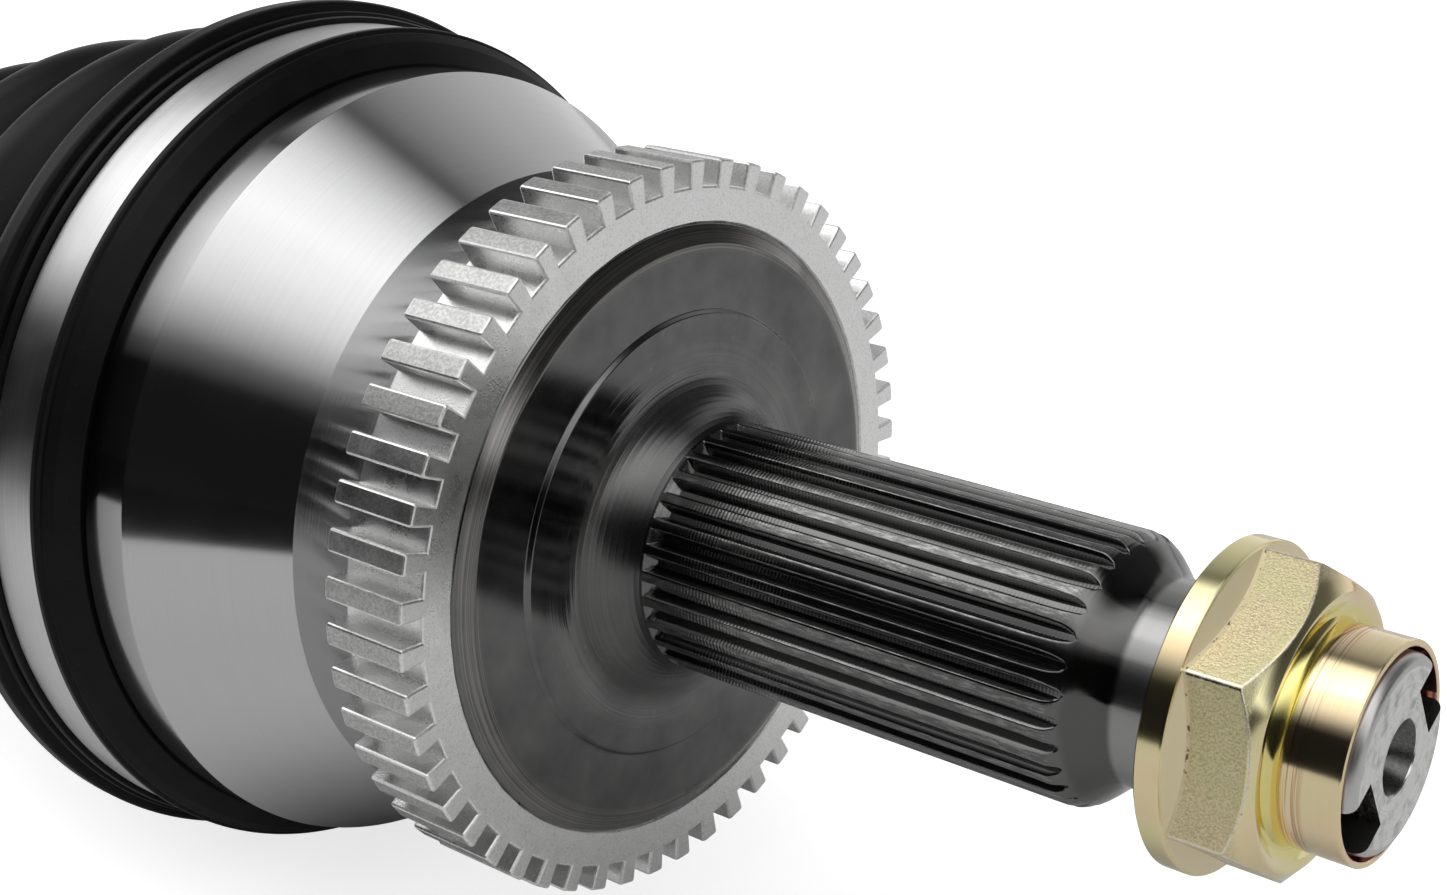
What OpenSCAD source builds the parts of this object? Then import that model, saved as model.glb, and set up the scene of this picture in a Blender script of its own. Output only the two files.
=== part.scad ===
/* [Hub stub] */
// Radius over the hub spline teeth
stub_r = 16; // [14:0.5:18]
// Number of hub spline teeth
stub_teeth = 30; // [24:1:34]
// Depth of the hub spline grooves
stub_groove_depth = 1.5; // [0.8:0.1:2]
// Length of the hub spline, run-out included
stub_spline_len = 60.5; // [48:0.5:72]
// Radius of the fillet between stub and bell
root_fillet = 7; // [4:0.5:9]
// Length of the slope from the spline down to the neck
slope_len = 6.4; // [5:0.1:8]
// Distance from the start of the slope to the end of the spline's run-out
slope_lead = 5.3; // [4:0.1:6]
// Height of the neck over the thread
neck_over = 1; // [0.6:0.1:1.4]
// Length of the neck between the slope and the thread
neck_len = 6.1; // [4:0.1:9]
// Radius of the threaded end
thread_r = 11; // [10:0.25:12]
// Length of the threaded end
thread_len = 21.1; // [18:0.1:30]
// Radius of the pilot hole of the lathe centre
centre_r = 2; // [1.5:0.25:3]
// Mouth radius of the lathe centre
centre_mouth_r = 4.1; // [3.6:0.1:4.8]
// Depth of the lathe centre's pilot hole
centre_depth = 12; // [9:0.5:16]
// Depth of the two staking slots
stake_depth = 4.9; // [3:0.1:5.2]
// Width of the two staking slots
stake_w = 7.3; // [5:0.1:8]
// Length of the two staking slots
stake_len = 12; // [6:0.5:18]

/* [Hub nut] */
// Size across the flats
hex_af = 32; // [30:0.5:36]
// Length of the hexagon
hex_len = 9; // [7:0.1:12]
// Radius of the flange
flange_r = 18.7; // [18.6:0.1:22]
// Thickness of the flange
flange_t = 3.3; // [2:0.1:5]
// Height of the flange's conical face
flange_slope = 2.7; // [1.5:0.1:3.5]
// Radius of the staking collar
collar_r = 12.3; // [12.3:0.1:13.5]
// Length of the staking collar
collar_len = 7.5; // [5:0.1:10]
// Gap between the shoulder and the nut
nut_gap = 0.3; // [0.1:0.1:1]
// Radial play of the nut on its thread
nut_play = 0.06; // [0.02:0.01:0.1]

/* [Bell] */
// Radius of the raised hub seat
boss_r = 29.2; // [26:0.2:34]
// Height of the raised hub seat
boss_h = 0.6; // [0.3:0.1:1.5]
// Radius of the seat under the tone ring
ring_seat_r = 40; // [38:0.25:41]
// Chamfer at the nose of the bell
nose_chamfer = 1.8; // [0.8:0.1:2.5]
// Height of the land behind the tone ring over the ring's seat
land_step = 3.2; // [2.5:0.1:4.2]
// Length of the land behind the tone ring
land_len = 11.1; // [6:0.1:14]
// Length of the cone
cone_len = 19.4; // [14:0.2:22]
// Wall of the bell between its cavity and the boot seat
bell_wall = 12.9; // [12:0.1:14]
// Height of the bell over the boot seat
bell_step = 1.2; // [0.6:0.1:2]
// Length of the full bell ahead of the boot
bell_len = 7.5; // [5:0.1:10]
// Depth of the locking groove in the boot seat
seat_groove = 1; // [0.4:0.1:1.4]
// Distance from the hub seat to the joint centre
joint_depth = 49; // [47:0.5:52]
// Distance from the joint centre to the mouth
mouth_depth = 24; // [22:0.5:26]
// Distance from the circle of the balls to the spherical cavity
cavity_over = 4; // [3.6:0.1:4.4]
// Distance from the joint centre to the cavity floor
cavity_floor = 30; // [28:0.5:32]
// Widening of the mouth by its flare
flare_over = 2.9; // [2:0.1:4]
// Distance from the joint centre to the start of the flare
flare_start = 15; // [13:0.5:18]

/* [Tone ring] */
// Thickness of the ring under its slots
ring_web = 4.7; // [4:0.1:6]
// Height of the teeth
tooth_h = 3.3; // [2.5:0.1:4]
// Length of the ring
ring_len = 12.8; // [8:0.2:16]
// Number of teeth
ring_teeth = 52; // [44:1:56]
// Width of each slot
slot_w = 2.9; // [2:0.1:3.3]

/* [Ball joint] */
// Diameter of the balls
ball_d = 19.05; // [18.6:0.05:19.4]
// Radius of the circle through the ball centres
ball_pitch_r = 35.5; // [35:0.1:36]
// Offset of the track centres to either side
track_offset = 3.5; // [3:0.1:4]
// Play between a ball and its track
track_play = 0.15; // [0.1:0.01:0.25]
// Play between spherical faces
sphere_play = 0.3; // [0.25:0.05:0.4]
// Wall of the cage
cage_wall = 6; // [5:0.1:6.4]
// Width of the cage
cage_w = 28; // [26:0.5:30]
// Play on each side of a ball in its window
window_play = 0.3; // [0.28:0.02:0.4]
// Travel room for a ball along its window
window_travel = 1.5; // [1.3:0.1:2]
// Corner radius of the windows
window_round = 4; // [2:0.25:6]
// Width of the inner race
race_w = 25; // [23:0.5:27]

/* [Bar] */
// Distance between the two joint centres
centre_gap = 410; // [380:5:480]
// Radius of the bar's splined ends
bar_spline_r = 13.8; // [13.4:0.1:14.2]
// Radius of the bar between the boots
bar_r = 12.8; // [12.4:0.1:13.2]
// Radius of the bar under the boot cuffs
cuff_seat_r = 14; // [13.8:0.1:14.4]
// Depth of the retaining-ring grooves on the bar
bar_groove = 1.4; // [1:0.1:2]
// Reach of the bar beyond each joint centre
bar_reach = 17; // [16:0.5:18]
// Number of teeth on the bar's splines
bar_teeth = 28; // [24:1:32]
// Depth of the grooves of the bar's splines
bar_tooth_h = 1.1; // [0.8:0.1:1.4]
// Width of the grooves of the bar's splines
bar_slot_w = 1.6; // [1.2:0.1:1.8]
// Width of the retaining rings on the bar
bar_ring_w = 1.8; // [1.4:0.1:2.2]

/* [Outer boot] */
// Height of the bead ahead of the large clamp over the bell
bead_over = 4.7; // [4:0.1:6]
// Height of the rib behind the large clamp over the bead
rib_over = 2.4; // [1.6:0.1:3]
// Distance from the rib to the first fold
first_fold_gap = 22.2; // [21:0.2:24]
// Radial thickness of the folds
boot_wall = 3; // [2:0.1:3.5]
// Fall of each fold's crest below the rib, large end first
outer_fold_drop = [6.1, 10.2, 15.7, 22.2, 29.7]; // [5:0.1:32]
// Depth of the folds
outer_fold_depth = 8.5; // [6:0.25:9]
// Distance from one fold to the next
outer_fold_pitch = 20.6; // [18:0.2:22]
// Radius of the small cuff
small_cuff_r = 18; // [17.6:0.1:20]
// Length of the small cuffs
small_cuff_len = 14; // [12:0.5:18]

/* [Clamps] */
// Width of the large clamps
large_clamp_w = 8.4; // [6:0.1:10]
// Width of the small clamps
small_clamp_w = 7; // [5:0.1:9]
// Thickness of the clamp bands
clamp_t = 0.8; // [0.6:0.1:1.2]
// Radius of the crimped ears
ear_r = 3; // [2.4:0.1:4]
// Direction of the ears round the axle
ear_angle = 240; // [0:5:355]

/* [Inner joint] */
// Wall of the tripod housing behind its tracks
tulip_wall = 7; // [6.4:0.1:9]
// Radius of the core between the tracks
core_r = 27.5; // [26.5:0.1:28.5]
// Room between the trunnions and the back of the tracks
track_room = 2.2; // [1.6:0.1:3]
// Distance from the joint centre to the mouth
tulip_mouth = 38; // [36:0.5:42]
// Distance from the joint centre to the floor
tulip_floor = 40; // [39.5:0.5:44]
// Thickness of the closed end
tulip_end = 9; // [7:0.5:14]
// Depth of the scallops between the lobes
scallop_depth = 8.5; // [4:0.5:9]
// Radius of each scallop
scallop_r = 28; // [22:1:40]
// Length of the round band under the boot
boot_band = 22; // [19:0.5:25]
// Thickness of the inner boot's cuff under its clamp
inner_cuff_wall = 2.4; // [2:0.1:4]
// Fall of each inner fold's crest below the cuff, large end first
inner_fold_drop = [3.4, 8.4, 14.4, 20.4]; // [3:0.1:22]
// Length of the flare in the tulip's mouth
mouth_flare_len = 14; // [12:0.5:16]
// Depth of the inner folds
inner_fold_depth = 6.5; // [4:0.25:7]
// Distance from one inner fold to the next
inner_fold_pitch = 13.5; // [12:0.25:16]

/* [Tripod] */
// Radius of the spider's hub
spider_r = 17.5; // [17:0.25:18.5]
// Width of the spider's hub
spider_w = 24; // [22:0.5:26]
// Radius of the trunnions
trunnion_r = 9; // [8.6:0.1:9.2]
// Distance from the axis to the middle of a roller
roller_seat = 27; // [26.8:0.1:27.4]
// Radius of the rollers
roller_r = 16; // [15.6:0.1:16.2]
// Height of the rollers
roller_h = 12; // [10:0.2:12.4]
// Play between a roller and the sides of its track
roller_play = 0.75; // [0.7:0.05:1]
// Radius of the needles
needle_r = 1.2; // [1.1:0.05:1.3]
// Number of needles round a trunnion
needle_count = 24; // [18:1:25]
// Play on each side of the needles
needle_play = 0.08; // [0.05:0.01:0.12]

/* [Gearbox stub] */
// Radius of the oil-seal journal
journal_r = 20; // [18:0.5:24]
// Length of the oil-seal journal
journal_len = 22; // [15:1:30]
// Radius over the gearbox spline teeth
inner_spline_r = 14.5; // [13:0.25:16]
// Length of the gearbox spline
inner_spline_len = 40; // [30:1:50]
// Number of gearbox spline teeth
inner_teeth = 26; // [22:1:30]
// Radius of the wire of the gearbox retaining ring
wire_r = 0.9; // [0.7:0.05:1.1]

/* [Hidden] */
$fn = 96;
over = 1;
fit_gap = 0.3;

cavity_r = ball_pitch_r + cavity_over;
flare_r = cavity_r + flare_over;
boot_seat_r = cavity_r + bell_wall;
bell_r = boot_seat_r + bell_step;
land_r = ring_seat_r + land_step;
ring_root_r = ring_seat_r + ring_web;
ring_tip_r = ring_root_r + tooth_h;
bead_r = bell_r + bead_over;
rib_r = bead_r + rib_over;
outer_fold_r = [for (drop = outer_fold_drop) rib_r - drop];
trunnion_end = roller_seat + roller_h / 2 + 2.8;
track_r = trunnion_end + track_room;
tulip_r = track_r + tulip_wall;
inner_cuff_r = tulip_r + inner_cuff_wall;
inner_fold_r = [for (drop = inner_fold_drop) inner_cuff_r - drop];

// The origin is on the axle's axis in the plane of the raised hub seat, with +X towards the nut.
face_x = -boss_h;
ring_front_x = face_x - nose_chamfer * 2 / 3;
ring_back_x = ring_front_x - ring_len;
cone_front_x = ring_back_x - land_len;
cone_back_x = cone_front_x - cone_len;
boot_face_x = cone_back_x - bell_len;
joint_x = -joint_depth;
mouth_x = joint_x - mouth_depth;
floor_x = joint_x + cavity_floor;

spline_end_x = root_fillet + stub_spline_len;
slope_x = spline_end_x - slope_lead;
shoulder_x = slope_x + slope_len + neck_len;
stub_end_x = shoulder_x + thread_len;
thread_chamfer = 1.5;
neck_r = thread_r + neck_over;
slope_steps = 12;
cutter_r = 26;
ramp_len = 1.6;
stub_phase = 1.2;
ring_phase = 1.2;
hex_phase = -3.8;
stake_phase = 121.3;

nut_x = shoulder_x + nut_gap;
hex_x = nut_x + flange_t;
hex_end_x = hex_x + hex_len;
collar_end_x = hex_end_x + collar_len;
hex_corner_r = hex_af / 2 / cos(30);

track_arc_r = norm([ball_pitch_r, track_offset]);
track_tube_r = ball_d / 2 + track_play;
home_angle = atan2(ball_pitch_r, track_offset);
cage_out_r = cavity_r - sphere_play;
cage_in_r = cage_out_r - cage_wall;
race_r = cage_in_r - sphere_play;

inner_x = joint_x - centre_gap;
tulip_mouth_x = inner_x + tulip_mouth;
tulip_floor_x = inner_x - tulip_floor;
tulip_end_x = tulip_floor_x - tulip_end;
journal_x = tulip_end_x - 6;
journal_end_x = journal_x - journal_len;
inner_neck_x = journal_end_x - 9;
gear_end_x = inner_neck_x - inner_spline_len;
wire_x = gear_end_x + 5;
wire_groove_r = inner_spline_r - wire_r * 1.6;
inner_tooth_h = 1.2;

clamp_gap = 1.3;
bead_x = boot_face_x - 3.4;
large_clamp_x = bead_x - clamp_gap;
large_seat_r = bead_r - 1.1;
rib_x = large_clamp_x - large_clamp_w - 5.1;
first_fold_x = rib_x - first_fold_gap;
small_cuff_x = first_fold_x - (len(outer_fold_r) - 1) * outer_fold_pitch - 12;

ring_groove_x = tulip_mouth_x - 4.5;
ring_groove_w = 1.8;
ring_groove_r = track_r + 1.6;

inner_clamp_x = tulip_mouth_x - boot_band / 2;
first_inner_x = tulip_mouth_x + 9;
inner_small_x = first_inner_x + (len(inner_fold_r) - 1) * inner_fold_pitch + 10 + small_cuff_len;

roller_bore_r = trunnion_r + 2 * (needle_r + needle_play);
retainer_t = 1;
retainer_seat = roller_seat + roller_h / 2 + 0.05;
clip_t = 0.9;
clip_seat = retainer_seat + retainer_t;
clip_groove = 0.8;
lobe_angles = [0, 120, 240];

// Turns a flat outline, drawn as [radius, station], about the axle's axis.
module turned() {
    rotate([0, 90, 0])
        rotate_extrude()
            children();
}

// Straight rod of radius r from station x over length h along the axle.
module rod(x, h, r) {
    translate([x, 0, 0])
        rotate([0, 90, 0])
            cylinder(h = h, r = r);
}

// Ring between radii inner and outer, from station x over length h.
module ring(x, h, inner, outer) {
    difference() {
        rod(x, h, outer);
        rod(x - over, h + 2 * over, inner);
    }
}

// V-shaped spline groove along the top of a shaft of radius r. Its floor ramps up steeply at
// the start x0 and follows the arc of the cutter at the end x1.
module spline_groove(r, depth, teeth, x0, x1, ramp, cutter_r) {
    half_top = r * sin(90 / teeth) * 1.16;
    half_floor = half_top * 0.34;
    runout = sqrt(cutter_r * cutter_r - (cutter_r - depth) * (cutter_r - depth));
    intersection() {
        translate([x0 - over, 0, 0])
            rotate([90, 0, 90])
                linear_extrude(height = x1 - x0 + 2 * over)
                    polygon([[-half_floor, r - depth], [half_floor, r - depth],
                        [half_top * 1.35, r + depth * 0.53], [-half_top * 1.35, r + depth * 0.53]]);
        rotate([90, 0, 0])
            linear_extrude(height = 4 * half_top, center = true)
                difference() {
                    polygon([[x0, r + over], [x0 + ramp, r - depth - over], [x1, r - depth - over],
                        [x1, r + over]]);
                    difference() {
                        translate([x1 - runout, r - depth - 2 * over])
                            square([runout + 2 * over, depth + 3 * over]);
                        translate([x1 - runout, r - depth + cutter_r])
                            circle(cutter_r, $fn = 180);
                    }
                }
    }
}

// A full set of spline grooves round the shaft.
module spline_grooves(r, depth, teeth, x0, x1, ramp, cutter_r, phase) {
    for (i = [0 : teeth - 1])
        rotate([phase + (i + 0.5) * 360 / teeth, 0, 0])
            spline_groove(r, depth, teeth, x0, x1, ramp, cutter_r);
}

// Torus arc that a ball runs in, in the plane of the axis and the top of the joint.
module ball_track(offset, from, to) {
    translate([joint_x + offset, 0, 0])
        rotate([90, 0, 0])
            rotate_extrude(start = from, angle = to - from)
                translate([track_arc_r, 0])
                    circle(track_tube_r);
}

// Outside of the bell and its stub.
module bell_outline() {
    groove_x = large_clamp_x - large_clamp_w;
    bell = [[0, mouth_x], [boot_seat_r - 1, mouth_x], [boot_seat_r, mouth_x + 1],
        [boot_seat_r, groove_x], [boot_seat_r - seat_groove, groove_x + seat_groove],
        [boot_seat_r - seat_groove, large_clamp_x - seat_groove], [boot_seat_r, large_clamp_x],
        [boot_seat_r, boot_face_x], [bell_r - 0.5, boot_face_x], [bell_r, boot_face_x + 0.5],
        [bell_r, cone_back_x + 1], [bell_r - 0.5, cone_back_x], [land_r, cone_front_x],
        [land_r, ring_back_x], [ring_seat_r, ring_back_x], [ring_seat_r, ring_front_x],
        [ring_seat_r - nose_chamfer, face_x], [boss_r, face_x], [boss_r - boss_h / 2, 0],
        [stub_r, 0]];
    slope = [for (i = [0 : slope_steps])
        [neck_r + (stub_r - neck_r) * (1 + cos(180 * i / slope_steps)) / 2,
            slope_x + slope_len * i / slope_steps]];
    thread = [[neck_r, shoulder_x], [thread_r, shoulder_x],
        [thread_r, stub_end_x - thread_chamfer], [thread_r - thread_chamfer, stub_end_x],
        [0, stub_end_x]];
    polygon(concat(bell, slope, thread));
    difference() {
        translate([stub_r - over, -over])
            square([root_fillet + over, root_fillet + over]);
        translate([stub_r + root_fillet, root_fillet])
            circle(root_fillet);
    }
}

// Spherical cavity with its flat floor and the flare that clears the bar.
module bell_cavity() {
    intersection() {
        translate([0, joint_x])
            circle(cavity_r);
        translate([0, mouth_x - over])
            square([2 * cavity_r, floor_x - mouth_x + over]);
    }
    start_r = sqrt(cavity_r * cavity_r - flare_start * flare_start) - 0.05;
    polygon([[0, mouth_x - over], [flare_r + over, mouth_x - over], [flare_r, mouth_x],
        [start_r, joint_x - flare_start], [0, joint_x - flare_start]]);
}

// Lathe centre: a 60 degree countersink and its pilot hole.
module lathe_centre() {
    sink = (centre_mouth_r - centre_r) / tan(30);
    polygon([[0, stub_end_x + over], [centre_mouth_r, stub_end_x + over],
        [centre_mouth_r, stub_end_x], [centre_r, stub_end_x - sink],
        [centre_r, stub_end_x - centre_depth], [0, stub_end_x - centre_depth - centre_r / 2]]);
}

// Flat slot along the thread for staking the collar into.
module stake_slot() {
    translate([stub_end_x - stake_len, -stake_w / 2, thread_r - stake_depth])
        cube([stake_len + over, stake_w, stake_depth + over]);
}

module outer_housing() {
    color("dimgray")
        difference() {
            turned() bell_outline();
            turned() bell_cavity();
            turned() lathe_centre();
            for (i = [0 : 5])
                rotate([90 + i * 60, 0, 0])
                    ball_track(-track_offset, home_angle - 38, home_angle + 70);
            spline_grooves(stub_r, stub_groove_depth, stub_teeth, root_fillet + 0.4, spline_end_x,
                ramp_len, cutter_r, stub_phase);
            for (side = [0, 180])
                rotate([stake_phase + side, 0, 0])
                    stake_slot();
        }
}

module tone_ring() {
    edge = 0.4;
    color("silver")
        difference() {
            turned()
                polygon([[ring_seat_r, ring_back_x], [ring_tip_r, ring_back_x],
                    [ring_tip_r, ring_front_x - edge], [ring_tip_r - edge, ring_front_x],
                    [ring_seat_r, ring_front_x]]);
            for (i = [0 : ring_teeth - 1])
                rotate([ring_phase + (i + 0.5) * 360 / ring_teeth, 0, 0])
                    translate([ring_back_x - over, -slot_w / 2, ring_root_r])
                        cube([ring_len + 2 * over, slot_w, ring_tip_r - ring_root_r + over]);
        }
}

module hub_nut() {
    chamfer = 2.1;
    groove_r = 1.3;
    lip = 0.85;
    bore = thread_r + nut_play;
    color("darkkhaki")
        difference() {
            union() {
                turned()
                    polygon([[0, nut_x], [flange_r - 0.6, nut_x], [flange_r, nut_x + 0.6],
                        [flange_r, hex_x - 0.8], [flange_r - 0.8, hex_x],
                        [hex_af / 2 - 0.3, hex_x + flange_slope], [0, hex_x + flange_slope]]);
                intersection() {
                    rotate([hex_phase, 0, 0])
                        translate([hex_x - over, 0, 0])
                            rotate([0, 90, 0])
                                cylinder(h = hex_len + over, r = hex_corner_r, $fn = 6);
                    turned()
                        polygon([[0, nut_x], [hex_corner_r + over, nut_x],
                            [hex_corner_r + over, hex_end_x - chamfer - over / 2],
                            [hex_corner_r - 2 * chamfer, hex_end_x], [0, hex_end_x]]);
                }
                rod(hex_end_x - over, collar_len + over, collar_r);
            }
            turned()
                translate([collar_r + groove_r, hex_end_x + 0.2])
                    circle(groove_r + 0.35);
            rod(nut_x - over, collar_end_x - nut_x + 2 * over, bore);
            turned()
                polygon([[0, collar_end_x - 3], [bore, collar_end_x - 3],
                    [collar_r - lip, collar_end_x - 2.4], [collar_r - lip, collar_end_x + over],
                    [0, collar_end_x + over]]);
        }
}

module inner_race() {
    color("slategray")
        difference() {
            turned()
                intersection() {
                    translate([0, joint_x])
                        circle(race_r);
                    translate([bar_spline_r, joint_x - race_w / 2])
                        square([race_r, race_w]);
                }
            for (i = [0 : 5])
                rotate([90 + i * 60, 0, 0])
                    ball_track(track_offset, 180 - home_angle - 60, 180 - home_angle + 60);
        }
}

// Rounded window in the cage, drawn across and along the axle.
module window_outline() {
    w = ball_d + 2 * window_play;
    l = ball_d + 2 * window_travel;
    square([w - 2 * window_round, l], center = true);
    square([w, l - 2 * window_round], center = true);
    for (a = [-1, 1], b = [-1, 1])
        translate([a * (w / 2 - window_round), b * (l / 2 - window_round)])
            circle(window_round);
}

module ball_cage() {
    color("gray")
        difference() {
            turned()
                difference() {
                    intersection() {
                        translate([0, joint_x])
                            circle(cage_out_r);
                        translate([0, joint_x - cage_w / 2])
                            square([cage_out_r, cage_w]);
                    }
                    translate([0, joint_x])
                        circle(cage_in_r);
                }
            for (i = [0 : 5])
                rotate([90 + i * 60, 0, 0])
                    translate([joint_x, 0, 0])
                        linear_extrude(height = cavity_r)
                            window_outline();
        }
}

// Ball number i, counted from the +Y side.
module ball(i) {
    color("lightgray")
        rotate([(i - 1) * 60 - 90, 0, 0])
            translate([joint_x, 0, ball_pitch_r])
                sphere(ball_d / 2);
}

// Split retaining ring with a gap of the given width.
module split_ring(x, w, inner, outer, gap) {
    difference() {
        ring(x, w, inner, outer);
        translate([x - over, -gap / 2, 0])
            cube([w + 2 * over, gap, outer + over]);
    }
}

module race_circlip() {
    color("darkslategray")
        split_ring(joint_x + race_w / 2, bar_ring_w, bar_spline_r - bar_groove, bar_spline_r + 1.6, 5);
}

module race_stop_ring() {
    color("darkslategray")
        split_ring(joint_x - race_w / 2 - bar_ring_w, bar_ring_w, bar_spline_r - bar_groove,
            bar_spline_r + 1.2, 5);
}

module spider_circlip() {
    color("darkslategray")
        split_ring(inner_x - spider_w / 2 - bar_ring_w, bar_ring_w, bar_spline_r - bar_groove,
            bar_spline_r + 1.8, 5);
}

module axle_bar() {
    groove_r = bar_spline_r - bar_groove;
    root_r = bar_spline_r - bar_tooth_h;
    outer_clip_x = joint_x + race_w / 2;
    outer_stop_x = joint_x - race_w / 2;
    inner_clip_x = inner_x - spider_w / 2;
    outer_seat_x = small_cuff_x - small_cuff_len - 2;
    inner_seat_x = inner_small_x + 2;
    color("black")
        difference() {
            turned()
                polygon([[0, joint_x + bar_reach], [root_r - 1, joint_x + bar_reach],
                    [bar_spline_r, joint_x + bar_reach - 1.6],
                    [bar_spline_r, outer_clip_x + bar_ring_w], [groove_r, outer_clip_x + bar_ring_w],
                    [groove_r, outer_clip_x], [bar_spline_r, outer_clip_x],
                    [bar_spline_r, outer_stop_x], [groove_r, outer_stop_x],
                    [groove_r, outer_stop_x - bar_ring_w], [bar_spline_r, outer_stop_x - bar_ring_w],
                    [bar_spline_r, outer_stop_x - 9], [bar_r, outer_stop_x - 13],
                    [bar_r, small_cuff_x + 4], [cuff_seat_r, small_cuff_x + 2],
                    [cuff_seat_r, outer_seat_x], [bar_r, outer_seat_x - 5],
                    [bar_r, inner_seat_x + 5], [cuff_seat_r, inner_seat_x],
                    [cuff_seat_r, inner_small_x - small_cuff_len - 2],
                    [bar_r, inner_small_x - small_cuff_len - 4],
                    [bar_r, inner_x + spider_w / 2 + 8], [bar_spline_r, inner_x + spider_w / 2 + 6],
                    [bar_spline_r, inner_clip_x], [groove_r, inner_clip_x],
                    [groove_r, inner_clip_x - bar_ring_w], [bar_spline_r, inner_clip_x - bar_ring_w],
                    [bar_spline_r, inner_x - bar_reach + 1.6], [root_r - 1, inner_x - bar_reach],
                    [0, inner_x - bar_reach]]);
            for (i = [0 : bar_teeth - 1])
                rotate([i * 360 / bar_teeth, 0, 0]) {
                    translate([outer_stop_x - 8, -bar_slot_w / 2, root_r])
                        cube([race_w + bar_reach, bar_slot_w, bar_tooth_h + over]);
                    translate([inner_x - bar_reach - over, -bar_slot_w / 2, root_r])
                        cube([bar_reach + spider_w / 2 + 6, bar_slot_w, bar_tooth_h + over]);
                }
        }
}

// Points of one boot fold with its crest at station x, for a boot that shrinks towards dir.
function fold_points(x, crest, depth, pitch, dir) = [
    [crest - depth, x - dir * pitch * 0.46], [crest - depth * 0.35, x - dir * pitch * 0.28],
    [crest, x - dir * pitch * 0.1], [crest, x + dir * pitch * 0.1],
    [crest - depth * 0.35, x + dir * pitch * 0.28]];

// The inside of a boot wall: the outline moved in by the wall, walked backwards.
function inside_of(points, wall) = [for (i = [len(points) - 1 : -1 : 0])
    [points[i][0] - wall, points[i][1]]];

module outer_boot() {
    cuff_end_x = large_clamp_x - large_clamp_w;
    last = len(outer_fold_r) - 1;
    neck_x = mouth_x - 3;
    folds = [for (i = [0 : last])
        each fold_points(first_fold_x - i * outer_fold_pitch, outer_fold_r[i],
            outer_fold_depth, outer_fold_pitch, -1)];
    shoulder = [[rib_r - 4, rib_x - 6],
        [outer_fold_r[0] - outer_fold_depth, first_fold_x + outer_fold_pitch * 0.53]];
    cuff_r = small_cuff_r + clamp_t;
    small = [[cuff_r + 3, small_cuff_x + 2], [cuff_r, small_cuff_x]];
    small_end = small_cuff_x - small_cuff_len;
    seat0 = small_cuff_x - (small_cuff_len - small_clamp_w) / 2;
    color([0.06, 0.06, 0.06])
        turned()
            polygon(concat(
                [[boot_seat_r + fit_gap, boot_face_x - fit_gap], [bell_r + 0.4, boot_face_x - fit_gap],
                    [bead_r - 1.2, bead_x + 1.2], [bead_r, bead_x], [bead_r, large_clamp_x],
                    [large_seat_r - fit_gap, large_clamp_x], [large_seat_r - fit_gap, cuff_end_x],
                    [rib_r - 1.6, cuff_end_x], [rib_r - 1.6, rib_x + 3.2], [rib_r, rib_x + 1.6],
                    [rib_r, rib_x - 1.6]],
                shoulder, folds, small,
                [[cuff_r, seat0], [small_cuff_r, seat0], [small_cuff_r, seat0 - small_clamp_w],
                    [cuff_r, seat0 - small_clamp_w], [cuff_r, small_end],
                    [cuff_seat_r + fit_gap, small_end], [cuff_seat_r + fit_gap, small_cuff_x]],
                inside_of(folds, boot_wall), inside_of(shoulder, boot_wall),
                [[boot_seat_r + 1, neck_x], [boot_seat_r + fit_gap, mouth_x - fit_gap]]));
}

// Clamp band of radius r on its inside, with a crimped ear that stands clear of the band.
module clamp_band(x, w, r) {
    difference() {
        union() {
            ring(x - w, w, r, r + clamp_t);
            rotate([ear_angle, 0, 0])
                translate([0, 0, r + ear_r - clamp_t])
                    rod(x - w * 0.9, w * 0.8, ear_r);
        }
        rotate([ear_angle, 0, 0])
            translate([0, 0, r + ear_r - clamp_t])
                rod(x - w - over, w + 2 * over, ear_r - clamp_t);
        rod(x - w - over, w + 2 * over, r);
    }
}

module outer_boot_large_clamp() {
    color("gainsboro")
        clamp_band(large_clamp_x, large_clamp_w, large_seat_r);
}

module outer_boot_small_clamp() {
    color("gainsboro")
        clamp_band(small_cuff_x - (small_cuff_len - small_clamp_w) / 2, small_clamp_w,
            small_cuff_r + fit_gap);
}

module spider() {
    color("slategray")
        difference() {
            union() {
                turned()
                    polygon([[0, inner_x - spider_w / 2], [spider_r - 1, inner_x - spider_w / 2],
                        [spider_r, inner_x - spider_w / 2 + 1], [spider_r, inner_x + spider_w / 2 - 1],
                        [spider_r - 1, inner_x + spider_w / 2], [0, inner_x + spider_w / 2]]);
                for (a = lobe_angles)
                    rotate([a, 0, 0])
                        translate([inner_x, 0, 0])
                            rotate_extrude()
                                polygon([[0, 0], [trunnion_r, 0], [trunnion_r, clip_seat],
                                    [trunnion_r - clip_groove, clip_seat],
                                    [trunnion_r - clip_groove, clip_seat + clip_t],
                                    [trunnion_r, clip_seat + clip_t],
                                    [trunnion_r, trunnion_end - 0.5],
                                    [trunnion_r - 0.5, trunnion_end], [0, trunnion_end]]);
            }
            rod(inner_x - spider_w / 2 - over, spider_w + 2 * over, bar_spline_r);
        }
}

// Barrel roller on trunnion number i, with its needle bore.
module roller(i) {
    color("lightgray")
        rotate([lobe_angles[i - 1], 0, 0])
            translate([inner_x, 0, roller_seat])
                rotate_extrude()
                    difference() {
                        intersection() {
                            circle(roller_r);
                            translate([0, -roller_h / 2])
                                square([roller_r, roller_h]);
                        }
                        translate([-over, -roller_h])
                            square([roller_bore_r + over, 2 * roller_h]);
                    }
}

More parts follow.
